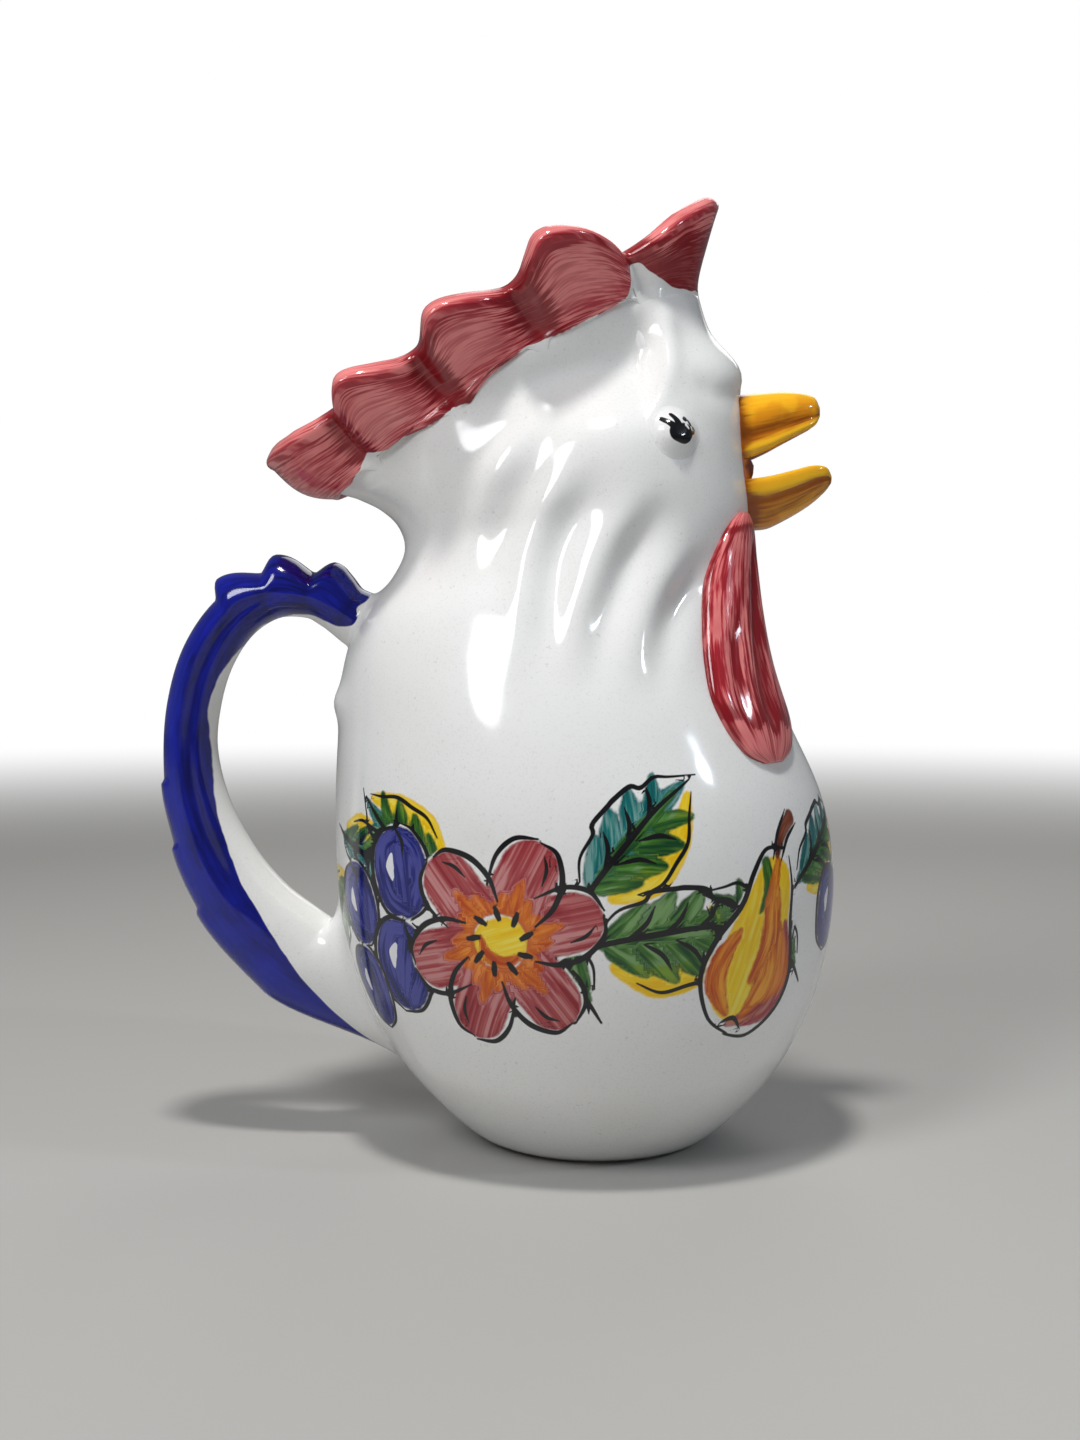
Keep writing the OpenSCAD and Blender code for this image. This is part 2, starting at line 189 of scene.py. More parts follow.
def newMaterial(name):
    material = bpy.data.materials.new(name)
    material.use_nodes = True
    tree = material.node_tree
    tree.nodes.clear()
    shader = addNode(tree, "ShaderNodeBsdfPrincipled")
    output = addNode(tree, "ShaderNodeOutputMaterial", shader.outputs[0])
    return material, tree, shader, output


def makeStage():
    scene = bpy.context.scene
    scene.view_settings.view_transform = "Standard"
    material, tree, shader, output = newMaterial("paleFloor")
    shader.inputs["Base Color"].default_value = (*stageSetup["floorColor"], 1)
    shader.inputs["Roughness"].default_value = stageSetup["floorRoughness"]
    away = addNode(tree, "ShaderNodeVectorMath", objectPlace(tree), operation="LENGTH").outputs["Value"]
    seen = addNode(tree, "ShaderNodeLightPath").outputs["Is Camera Ray"]
    fade = Value(tree, away).ramp(stageSetup["fadeStart"] * mm, stageSetup["fadeEnd"] * mm) * seen
    white = addNode(tree, "ShaderNodeEmission", (1, 1, 1, 1), 1.0)
    mixed = addNode(tree, "ShaderNodeMixShader", fade, shader.outputs[0], white.outputs[0])
    tree.links.new(mixed.outputs[0], output.inputs[0])
    bpy.ops.mesh.primitive_circle_add(vertices=96, radius=stageSetup["floorRadius"] * mm, fill_type="NGON")
    floor = bpy.context.object
    floor.name = "floor"
    floor.data.materials.append(material)

    world = bpy.data.worlds.new("paleRoom")
    scene.world = world
    world.use_nodes = True
    tree = world.node_tree
    tree.nodes.clear()
    rays = addNode(tree, "ShaderNodeLightPath").outputs
    seen = mathNode(tree, "MAXIMUM", rays["Is Camera Ray"], rays["Is Transmission Ray"])
    room = addNode(tree, "ShaderNodeBackground", (*stageSetup["worldColor"], 1), stageSetup["worldStrength"])
    white = addNode(tree, "ShaderNodeBackground", (1, 1, 1, 1), 1.0)
    mixed = addNode(tree, "ShaderNodeMixShader", seen, room.outputs[0], white.outputs[0])
    addNode(tree, "ShaderNodeOutputWorld", mixed.outputs[0])

    middle = np.array([cameraSetup["place"][0], 0, totalHeight / 2])
    for name, (azimuth, elevation, distance, shape, width, height, watts, color) in lamps.items():
        turn, rise = math.radians(azimuth), math.radians(elevation)
        way = np.array([math.sin(turn) * math.cos(rise), -math.cos(turn) * math.cos(rise), math.sin(rise)])
        data = bpy.data.lights.new(name, "AREA")
        data.shape = shape
        data.size = width * mm
        data.size_y = height * mm
        data.energy = watts
        data.color = color
        lamp = bpy.data.objects.new(name, data)
        scene.collection.objects.link(lamp)
        lamp.location = (middle + way * distance) * mm
        lamp.rotation_euler = (math.radians(90 - elevation), 0, turn)


makeCamera()
makeStage()
print("camera, stage and lamps made")


def smoothStep(low, high, value):
    # 0 at low and 1 at high, also where high is the smaller one
    share = np.clip((value - low) / (high - low), 0, 1)
    return share * share * (3 - 2 * share)


def bell(value, middle, width):
    return np.exp(-(((value - middle) / width) ** 2))


def packed(*values):
    # numbers and arrays side by side, along a new last axis
    return np.stack(np.broadcast_arrays(*values), -1)


def unit(v):
    return v / np.maximum(np.linalg.norm(v, axis=-1, keepdims=True), 1e-9)


def pathLength(line):
    # length along a line of points, up to each of them
    return np.concatenate([[0], np.cumsum(np.linalg.norm(np.diff(line, axis=0), axis=1))])


def splineRows(table, at):
    # Catmull-Rom curve through the rows of a table
    table = np.asarray(table, float)
    last = len(table) - 1
    step = np.clip(np.floor(at).astype(int), 0, last - 1)
    u = (np.asarray(at) - step)[..., None]
    p0, p1, p2, p3 = (table[np.clip(step + k, 0, last)] for k in (-1, 0, 1, 2))
    return (2 * p1 + (p2 - p0) * u + (2 * p0 - 5 * p1 + 4 * p2 - p3) * u**2
            + (3 * p1 - p0 - 3 * p2 + p3) * u**3) / 2


# Wall: rear x and z, front x and z, half width, arch and skew of each ring, as shares of the
# half length, the height and the half width
wall = {
    "footRadius": 30.0,
    "thickness": 4.5,
    "floor": 7.0,
    "archSkew": 0.8,
    "rimArch": 24.0,
    "ringShares": [
        [-0.500, 0.011, 0.490, 0.011, 0.510, 0.000, 0.00],
        [-0.635, 0.043, 0.620, 0.043, 0.650, 0.000, 0.00],
        [-0.800, 0.093, 0.770, 0.093, 0.805, 0.000, 0.00],
        [-0.940, 0.161, 0.890, 0.161, 0.925, 0.000, 0.00],
        [-1.020, 0.232, 0.950, 0.232, 0.980, 0.000, 0.00],
        [-1.045, 0.304, 0.960, 0.304, 1.000, 0.000, 0.00],
        [-1.047, 0.375, 0.905, 0.375, 0.980, 0.000, 0.00],
        [-1.034, 0.446, 0.784, 0.446, 0.908, 0.000, 0.00],
        [-1.014, 0.507, 0.682, 0.507, 0.817, 0.000, 0.00],
        [-0.950, 0.557, 0.628, 0.563, 0.735, 0.000, 0.00],
        [-0.825, 0.598, 0.608, 0.618, 0.665, 0.000, 0.03],
        [-0.768, 0.629, 0.619, 0.675, 0.620, 0.000, 0.06],
        [-0.790, 0.654, 0.603, 0.718, 0.600, 0.000, 0.08],
        [-0.858, 0.672, 0.590, 0.768, 0.565, 0.004, 0.08],
        [-0.948, 0.684, 0.578, 0.818, 0.500, 0.010, 0.04],
        [-0.995, 0.688, 0.462, 0.858, 0.455, 0.018, 0.02],
        [-1.040, 0.691, 0.407, 0.903, 0.423, 0.023, 0.00]],
}
halfLength = -bodyLow.x / mm / 1.047
footRow = [-wall["footRadius"], 0, wall["footRadius"], 0, wall["footRadius"], 0, 0]
scales = np.array([halfLength, totalHeight, halfLength, totalHeight, halfWidth, totalHeight, 1])
stations = np.vstack([footRow, np.array(wall["ringShares"]) * scales])
topStation = len(stations) - 1.0


def wallPoint(s, a, inset=0.0):
    # station s, angle a in degrees: 0 at the front, 90 on the hen's left, 180 at the rear
    s, a = np.broadcast_arrays(np.asarray(s, float), np.radians(a))
    row = splineRows(stations, s)
    rear, front = row[..., 0:2], row[..., 2:4]
    span = np.linalg.norm(front - rear, axis=-1)
    way = (front - rear) / span[..., None]
    reach = span / 2 - inset
    side = (row[..., 4] - inset) * np.sin(a) * (1 + row[..., 6] * np.cos(a))
    rise = row[..., 5] * np.sin(a) ** 2 * (1 + wall["archSkew"] * np.cos(a))
    x = (rear + front)[..., 0] / 2 + way[..., 0] * reach * np.cos(a) - way[..., 1] * rise
    z = (rear + front)[..., 1] / 2 + way[..., 1] * reach * np.cos(a) + way[..., 0] * rise
    return np.stack([x, side, z], -1)


def wallNormal(s, a):
    s, a = np.broadcast_arrays(np.asarray(s, float), np.asarray(a, float))
    up = wallPoint(np.minimum(s + 0.02, topStation), a) - wallPoint(np.maximum(s - 0.02, 0), a)
    turn = wallPoint(s, a + 0.5) - wallPoint(s, a - 0.5)
    return unit(np.cross(turn, up))


def pathField(points, x, y, fine=8):
    # distance to a smooth path, the share of the way along it, and the signed side of it
    line = splineRows(points, np.linspace(0, len(points) - 1, fine * (len(points) - 1) + 1))
    start = pathLength(line)
    best, share, side = np.full(x.shape, 1e9), np.zeros(x.shape), np.zeros(x.shape)
    for k in range(len(line) - 1):
        a, way, step = line[k], line[k + 1] - line[k], start[k + 1] - start[k]
        if step < 1e-9:
            continue
        u = np.clip(((x - a[0]) * way[0] + (y - a[1]) * way[1]) / step**2, 0, 1)
        dx, dy = x - a[0] - u * way[0], y - a[1] - u * way[1]
        d = np.hypot(dx, dy)
        near = d < best
        best = np.where(near, d, best)
        share = np.where(near, (start[k] + u * step) / start[-1], share)
        side = np.where(near, np.sign(way[0] * dy - way[1] * dx), side)
    return best, share, side


# Relief of the wall, drawn in the side view (x, z) and the same on both sides
relief = {
    "pleats": [
        [(-6, 213), (-16, 202), (-22, 191.5), (-26, 181), (-29, 170), (-32, 150)],
        [(3, 200), (-3.5, 190), (-9, 181), (-12, 173), (-13.2, 165), (-14, 154), (-15, 134)],
        [(22, 192), (17.3, 185.5), (12.4, 178.8), (8.2, 171.6), (4.8, 163.3), (1.0, 153), (-3, 132)],
        [(34, 179), (30.1, 172.8), (25.8, 165.7), (21.7, 158.7), (18.2, 149), (14.8, 130)],
    ],
    "pleatDepth": [1.5, 2.7, 2.9, 2.2],
    "pleatWidth": 4.8,
    "pleatSides": (6, 20),                    # breadth in which the pleats grow to their depth
    "ridge": (1.3, -8.0, 4.5),                # height, offset and width of the ridge beside a pleat
    "crease": [(13, 262), (16, 246), (17.2, 232), (16.6, 222), (14.5, 214)],
    "creaseEdge": (-2.4, 4.4),
    "creaseRidge": (1.1, -3.5, 3.0),
    "creaseRidgeHeights": (216, 228, 240, 252),
    # the hollow panel under the comb
    "panelEdge": [(30, 218.5), (16, 218.5), (2, 218), (-11, 215.3), (-28, 208.5), (-42, 203.5), (-58, 197)],
    "panelSoft": (-13, 17),
    "panelDepth": 7.0,
    "panelReturn": 0.8,                       # share of the depth that it loses towards the rim
    "panelRear": (-42, -4, 0.1),              # x where it starts to fade to the rear, and the share left
    "brow": [(24, 224.5), (29, 222.4), (34, 220.2), (40, 221), (46, 224)],
    "browDepth": 1.1,
    "browWidth": 3.4,
    "browBulge": (36.0, 227.5, 11.0, 0.6),    # x, z, spread, height
    "cheek": (8.0, 203.0, 17.0, 1.6),
    "mouth": (200.5, 4.2, 2.4),               # height, spread, rise of the skin between the beaks
    "nub": (-76.0, -12.0, 131.5, (8, 9, 5.0), 2.0),   # x, y, z, spread each way, height
}


def reliefHeight(p):
    x, y, z = p[..., 0], np.abs(p[..., 1]), p[..., 2]
    height = np.zeros(x.shape)
    ridgeHeight, offset, width = relief["ridge"]
    for path, depth in zip(relief["pleats"], relief["pleatDepth"]):
        d, share, side = pathField(path, x, z)
        fade = smoothStep(*relief["pleatSides"], y) * smoothStep(0, 0.35, share) * smoothStep(1, 0.4, share)
        height += fade * (ridgeHeight * bell(d * side, offset, width) - depth * bell(d, 0, relief["pleatWidth"]))
    d, _, side = pathField(relief["panelEdge"], x, z)
    above = d * -side
    d, _, side = pathField(relief["crease"], x, z)
    behind = d * -side
    rise = np.maximum(above, 0) / (np.maximum(above, 0) + np.maximum(rimHeight(x) - z, 0) + 0.5)
    rear, middle, left = relief["panelRear"]
    panel = smoothStep(*relief["panelSoft"], above) * (1 - relief["panelReturn"] * smoothStep(0.5, 1.0, rise))
    panel *= smoothStep(*relief["creaseEdge"], behind) * (left + (1 - left) * smoothStep(rear, middle, x))
    height -= smoothStep(3, 12, y) * relief["panelDepth"] * panel * smoothStep(75, 55, -x)
    ridgeHeight, offset, width = relief["creaseRidge"]
    foot, low, high, top = relief["creaseRidgeHeights"]
    height += smoothStep(3, 10, y) * ridgeHeight * bell(behind, offset, width) * smoothStep(
        foot, low, z) * smoothStep(top, high, z)
    d, share, _ = pathField(relief["brow"], x, z)
    height -= relief["browDepth"] * smoothStep(0, 0.35, share) * bell(d, 0, relief["browWidth"])
    for middleX, middleZ, spread, rise in (relief["browBulge"], relief["cheek"]):
        height += rise * bell(np.hypot(x - middleX, z - middleZ), 0, spread)
    *middle, spread, rise = relief["nub"]
    height += rise * np.exp(-(((p - middle) / spread) ** 2).sum(-1))
    middle, spread, rise = relief["mouth"]
    return height + rise * smoothStep(25, 38, x) * smoothStep(12, 6.5, y) * bell(z, middle, spread)


def rimHeight(x):
    # height of the rim's line over the side view's x
    rear, front = stations[-1][0:2], stations[-1][2:4]
    share = np.clip((x - rear[0]) / (front[0] - rear[0]), 0, 1)
    return rear[1] + (front[1] - rear[1]) * share + wall["rimArch"] * share * (1 - share)


def skinPoint(s, a, lift=0.0):
    # the wall with its relief, and a lift off it
    p = wallPoint(s, a)
    return p + wallNormal(s, a) * (reliefHeight(p) + lift)[..., None]


def gridFaces(rows, columns, closed=True):
    across = np.arange(columns if closed else columns - 1)
    i, j = np.meshgrid(np.arange(rows - 1), across, indexing="ij")
    after = (j + 1) % columns
    faces = [i * columns + j, i * columns + after, (i + 1) * columns + after, (i + 1) * columns + j]
    return np.stack(faces, -1).reshape(-1, 4)


def makePiece(name, points, faces, material, fields=None):
    # faces: quads and, as extra entries, triangles
    mesh = bpy.data.meshes.new(name)
    mesh.from_pydata((np.asarray(points) * mm).tolist(), [], [f.tolist() for part in faces for f in part])
    mesh.materials.append(material)
    mesh.shade_smooth()
    for key, values in (fields or {}).items():
        values = np.asarray(values, np.float32)
        if values.ndim == 1:
            mesh.attributes.new(key, "FLOAT", "POINT").data.foreach_set("value", values)
        else:
            mesh.attributes.new(key, "FLOAT_VECTOR", "POINT").data.foreach_set("vector", values.ravel())
    piece = bpy.data.objects.new(name, mesh)
    bpy.context.scene.collection.objects.link(piece)
    return piece


def poleFaces(pole, ring, outward):
    # fan between a pole and a ring of points
    after = np.roll(ring, -1)
    pair = (ring, after) if outward else (after, ring)
    return np.stack([np.full(len(ring), pole), *pair], -1)


bodyMesh = {
    "columns": 440,
    "bandLow": 30.0,      # the painted band has the finest rows
    "bandHigh": 112.0,
    "bandStep": 0.9,
    "upperStep": 1.9,
    "lowerStep": 2.8,
    "innerStep": 7.5,
    "throat": (12.0, 13.0, 7.5),   # stations, and degrees to each side
    "footRecess": 0.8,
    "hollowLeft": 1.5,      # depth of a hollow outside that leaves the inside as it is
}


def bodyRows():
    fine = np.linspace(0, topStation, 3401)
    line = wallPoint(fine, 270.0)
    length = pathLength(line)
    z = line[:, 2]
    band = smoothStep(bodyMesh["bandLow"] - 8, bodyMesh["bandLow"], z)
    band = band * (1 - smoothStep(bodyMesh["bandHigh"], bodyMesh["bandHigh"] + 10, z))
    other = np.where(z < bodyMesh["bandLow"], bodyMesh["lowerStep"], bodyMesh["upperStep"])
    count = np.concatenate([[0], np.cumsum(np.diff(length) / (other + (bodyMesh["bandStep"] - other) * band)[1:])])
    low, high, _ = bodyMesh["throat"]
    cuts = [0, *np.interp([low, high], fine, count), count[-1]]
    rows = []
    for start, end in zip(cuts[:-1], cuts[1:]):
        steps = max(2, round(end - start))
        rows += list(np.interp(np.linspace(start, end, steps + 1)[:-1], count, fine))
    return np.array(rows + [topStation])


def makeBody(material):
    columns = bodyMesh["columns"]
    angles = np.arange(columns) * 360 / columns
    rows = bodyRows()
    low, high, spread = bodyMesh["throat"]
    outer = skinPoint(rows[:, None], angles)
    outer[0, :, 2] = 0
    floorStation = float(np.interp(wall["floor"], stations[:, 1], np.arange(len(stations))))
    inThroat = (rows > low - 0.001) & (rows < high + 0.001)
    inner = []
    for k in range(len(rows) - 1, -1, -1):
        z = wallPoint(rows[k], 270.0)[2]
        if rows[k] > floorStation + 0.3 and (inThroat[k] or not inner or abs(z - last) > bodyMesh["innerStep"]
                                             or rows[k] > topStation - 0.3):
            inner.append(k)
            last = z
    # the inside follows the deepest hollows of the outside
    at = rows[inner][:, None]
    normal = wallNormal(at, angles)
    depth = ((wallPoint(at, angles) - outer[inner]) * normal).sum(-1)
    innerRings = wallPoint(at, angles, wall["thickness"])
    innerRings -= normal * np.maximum(0, depth - bodyMesh["hollowLeft"])[..., None]
    floorRing = wallPoint(np.full(columns, floorStation), angles, wall["thickness"])
    bevel = [innerRings[-1] * (1 - t) + floorRing * t for t in (0.5, 0.85)]
    recess = bodyMesh["footRecess"]
    turn = np.radians(angles)
    underside = [packed(np.cos(turn) * wall["footRadius"] * f, np.sin(turn) * wall["footRadius"] * f, h)
                 for f, h in ((0.80, recess), (0.83, recess), (0.86, 0.0))]
    rings = np.array([*underside, *outer, *innerRings, *bevel, floorRing, floorRing * [0.7, 0.7, 1]])
    points = np.vstack([rings.reshape(-1, 3), [[0, 0, recess], [0, 0, wall["floor"]]]])
    n = len(rings)
    quads = gridFaces(n, columns)
    # the throat: a hole through both sheets
    row, column = np.divmod(np.arange(len(quads)), columns)
    first = len(underside)
    outerRow = {k: first + k for k in range(len(rows))}
    innerRow = {k: first + len(rows) + i for i, k in enumerate(inner)}
    throat = [k for k in range(len(rows)) if inThroat[k]]
    width = round(spread * columns / 360)
    hole = ((row >= outerRow[throat[0]]) & (row < outerRow[throat[-1]])
            | (row >= innerRow[throat[-1]]) & (row < innerRow[throat[0]]))
    quads = quads[~(hole & ((column < width) | (column >= columns - width)))]
    jambs = []
    for k in (throat[0], throat[-1]):
        o, i = outerRow[k] * columns, innerRow[k] * columns
        for j in range(-width, width):
            a, b = j % columns, (j + 1) % columns
            quad = [i + a, i + b, o + b, o + a]
            jambs.append(quad if k == throat[0] else quad[::-1])
    for k, after in zip(throat[:-1], throat[1:]):
        quad = np.array([innerRow[k], innerRow[after], outerRow[after], outerRow[k]]) * columns
        jambs += [quad + columns - width, (quad + width)[::-1]]
    fans = [poleFaces(n * columns, np.arange(columns), False),
            poleFaces(n * columns + 1, (n - 1) * columns + np.arange(columns), True)]
    fields = paintBand(points, first * columns, (first + len(rows)) * columns)
    piece = makePiece("hen_body", points, [quads, np.array(jambs), *fans], material, fields)
    print("body:", len(piece.data.polygons), "faces,", len(rows), "rows")
    return piece


# Paint on the belly. Places are (u, v): u is the way round the belly from the middle of the
# near side, positive to the beak, and v is the height
paint = {
    "around": 450.0,
    "low": 18.0,
    "high": 130.0,
    "inkWidth": 1.3,
    "fineEnd": 1.65,      # half widths below this aren't scaled with a motif
    # around the mouth: x where the beak's paint starts, height, half height and half breadth
    "mouthEdge": (40.0, 202.0, 20.8, 12.9),
    "mouthBrown": (200.5, 4.6, 11),
}
bandLayers = {"layersA": ("yellow", "green", "teal"), "layersB": ("red", "orange", "blue"),
              "layersC": ("brown", "white", "ink")}
farAway = 9.0             # distance of a point that no stroke comes near


def bandPlace(points):
    angle = np.degrees(np.arctan2(points[:, 0] + 2.0, -points[:, 1]))
    return angle / 360 * paint["around"], points[:, 2]


def nearestTurn(u):
    # the way round the belly, to either side
    return (u + paint["around"] / 2) % paint["around"] - paint["around"] / 2


def turned(points, angle):
    # turn points about (0, 0) by an angle in degrees
    c, s = math.cos(math.radians(angle)), math.sin(math.radians(angle))
    return [(x * c - y * s, x * s + y * c) for x, y in points]


class Brush:
    # Collects strokes as distances from the band's points
    def __init__(self, u, v):
        self.u, self.v = u, v
        self.fields = {layer: np.full(u.shape, farAway) for layers in bandLayers.values() for layer in layers}
        self.streak = np.zeros((len(u), 3))
        self.inkLine = np.tile([farAway, 0.0, 0.0], (len(u), 1))
        self.count = 0

    def stroke(self, layer, points, widths):
        # a stroke along points whose half width follows the widths from end to end;
        # a stroke of "bare" glaze covers what lies below it
        self.count += 1
        points = np.asarray(points, float)
        line = splineRows(points, np.linspace(0, len(points) - 1, 7 * (len(points) - 1) + 1))
        half = np.interp(np.linspace(0, 1, len(line)), np.linspace(0, 1, len(widths)), widths)
        along = pathLength(line)
        du = nearestTurn(self.u - line[:, 0].mean()) + line[:, 0].mean()
        reach = half.max() + 4
        near = np.where((du > line[:, 0].min() - reach) & (du < line[:, 0].max() + reach)
                        & (self.v > line[:, 1].min() - reach) & (self.v < line[:, 1].max() + reach))[0]
        if not len(near):
            return
        x, y = du[near], self.v[near]
        best = np.full(x.shape, farAway)
        across, length, breadth = np.zeros((3, *x.shape))
        for k in range(len(line) - 1):
            a, way, step = line[k], line[k + 1] - line[k], along[k + 1] - along[k]
            t = np.clip(((x - a[0]) * way[0] + (y - a[1]) * way[1]) / max(step**2, 1e-9), 0, 1)
            dx, dy = x - a[0] - t * way[0], y - a[1] - t * way[1]
            wide = half[k] * (1 - t) + half[k + 1] * t
            d = np.hypot(dx, dy) - wide
            closer = d < best
            best = np.where(closer, d, best)
            across = np.where(closer, (way[0] * dy - way[1] * dx) / max(step, 1e-6), across)
            length = np.where(closer, along[k] + t * step, length)
            breadth = np.where(closer, wide, breadth)
        if layer == "bare":
            self.clear(near, -best, self.fields)
            return
        field = self.fields[layer]
        if layer == "ink":
            closer = best < field[near]
            self.inkLine[near[closer]] = packed(across, breadth, 0.0)[closer]
        field[near] = np.minimum(field[near], best)
        if layer not in ("ink", "white"):
            inside = best < 0.1
            self.streak[near[inside]] = packed(across, length, self.count * 3.7)[inside]

    def clear(self, near, depth, layers):
        # take paint off at the points near, down to a depth inside the cleared shape
        for layer in layers:
            self.fields[layer][near] = np.maximum(self.fields[layer][near], depth)
        self.inkLine[near[depth > 0]] = [farAway, -1.0, 0.0]

    def stencil(self, u, v, angle, size, mirror=False, breadth=1.0):
        # a function that draws a motif's strokes, given in the motif's own measures
        def draw(layer, points, widths, turn=0.0):
            points = turned([(x, y * breadth) for x, y in points], turn)
            points = turned([(-x if mirror else x, y) for x, y in points], angle)
            points = [(u + x * size, v + y * size) for x, y in points]
            if layer == "ink":
                half = paint["inkWidth"] * widths / 2
                widths = [half * share for share in (0.45, 1, 1.15, 0.9, 0.35)]
            else:
                widths = [w if w < paint["fineEnd"] else w * size * breadth for w in widths]
            self.stroke(layer, points, widths)
        return draw


def drawLeaf(brush, u, v, angle, length, width, mirror=False, tone="green"):
    # a lobed leaf: a yellow wash to one side, strokes fanned from the rib, loose ink over them
    size = length / 40
    draw = brush.stencil(u, v, angle, size, mirror, width / 40)
    draw("yellow", [(4, -7), (15, -12.5), (28, -10.5), (40, -4)], [2 / size, 5 / size, 4.5 / size, 1.2])
    draw(tone, [(0, 0), (14, 1), (28, 1.5), (42, -0.5)], [1.4, 6.4, 5.4, 0.8])
    for x, reach in ((4, 0.80), (12, 1.0), (20, 0.98), (28, 0.72)):
        for side in (1, -1):
            lobe = [(x, 2 * side), (x + 4.6, 7.4 * side * reach), (x + 8.4, 12.6 * side * reach)]
            draw(tone if side > 0 else "green", lobe, [3.2, 4.1 * reach, 1.0])
    draw("green", [(6, 0.5), (20, 1.4), (38, 0.2)], [1.2, 2.6, 0.8])
    draw("ink", [(-7, -2.4), (2, 0), (16, 1.4), (30, 1.6), (44, -1.6)], 1.2)
    for x, side in ((8, 1), (12, -1), (17, 1), (21, -1), (26, 1)):
        draw("ink", [(x, 1.2 * side), (x + 4.5, 4.6 * side), (x + 6.8, 8.8 * side)], 0.95)
    draw("ink", [(1, 4.5), (5.5, 9.2), (12.5, 11.2), (14.5, 13.6), (21.5, 13.8), (23.5, 13.8), (29.5, 12.6),
                 (31.5, 9.6), (36.5, 8.4), (40, 4.4), (46, -2)], 1.0)
    draw("ink", [(10, -12.4), (16, -15.6), (23, -14.6), (30, -13.2), (36, -8.2), (41, -4.8)], 0.85)


def drawBlossom(brush, u, v, size, angle=0.0):
    # six rounded petals: crimson outside, orange flames inside, a yellow heart
    k = size / 26
    draw = brush.stencil(u, v, 0, k)
    turns = [angle + 60 * n + (4, -5, 2, 5, -4, 0)[n] for n in range(6)]
    petal = [(4, 0), (12, 0.5), (20.5, 0)]
    for turn in turns:
        draw("bare", petal, [4.0, 8.6, 8.4], turn)
    for turn in turns:
        draw("red", petal, [3.4, 8.0, 7.9], turn)
        for y, x in ((-2.6, 13), (2.8, 12), (0.2, 17)):
            draw("orange", [(4, y * 0.5), (8.5, y), (x, y * 1.2)], [1.9, 2.7, 0.9], turn)
        draw("yellow", [(9, -0.4), (12.5, 0.1), (16, 0.6)], [1.0, 1.8, 0.6], turn)
    heart = 7.4 * k - np.hypot(nearestTurn(brush.u - u), brush.v - v)
    brush.clear(np.arange(len(heart)), heart, ("red", "orange", "green", "teal", "ink"))
    for turn in turns:
        draw("ink", [(8.5, -7.4), (14, -9.6), (21, -9.2), (27.2, -5.2), (28.2, -0.6)], 1.15, turn)
        draw("ink", [(28.6, 1.6), (26.4, 6.8), (20.5, 9.5), (13, 8.8)], 1.0, turn)
        draw("ink", [(19, -4.6), (22.4, -4.2), (25, -2.6)], 0.75, turn)
    draw("yellow", [(-1.5, -0.4 / k), (1.5, 0.6 / k)], [6.2, 6.2])
    draw("orange", [(-5.4, 1.2), (-3.6, -3.6), (1.0, -5.6), (5.0, -3.4)], [0.7, 1.7, 2.0, 0.8])
    for n in range(9):
        draw("ink", [(6.4, 0), (8.6, 0.7)], 1.25, angle + 40 * n)


def drawPlum(brush, u, v, size, angle=0.0):
    draw = brush.stencil(u, v, angle, size / 12)
    draw("bare", [(0, -3.4), (0.4, 3.0)], [11.6, 10.8])
    draw("blue", [(0.2, -3.2), (0.5, 2.8)], [10.8, 10.2])
    draw("blue", [(2, 11), (-5.4, 8), (-7.2, 0), (-5.0, -8), (1, -12)], [1.4, 3.2, 3.8, 3.4, 1.2])
    draw("blue", [(2, 10.5), (7.0, 6), (7.8, -2), (4.4, -10)], [1.2, 2.8, 3.4, 1.6])
    draw("white", [(-3.0, -2.2), (-3.5, 1.6), (-2.2, 5.0)], [0.5, 1.75, 0.5])
    draw("ink", [(1.2, 12.9), (-6, 11.8), (-11.0, 6), (-11.8, -2), (-8.2, -11), (0, -14.9)], 1.15)
    draw("ink", [(0, -14.9), (8.0, -11.6), (11.9, -4), (11.5, 4.6), (7.4, 11.2), (3.4, 13.4)], 0.95)
    draw("ink", [(0.6, 12.2), (2.8, 8.4), (2.4, 5)], 0.9)


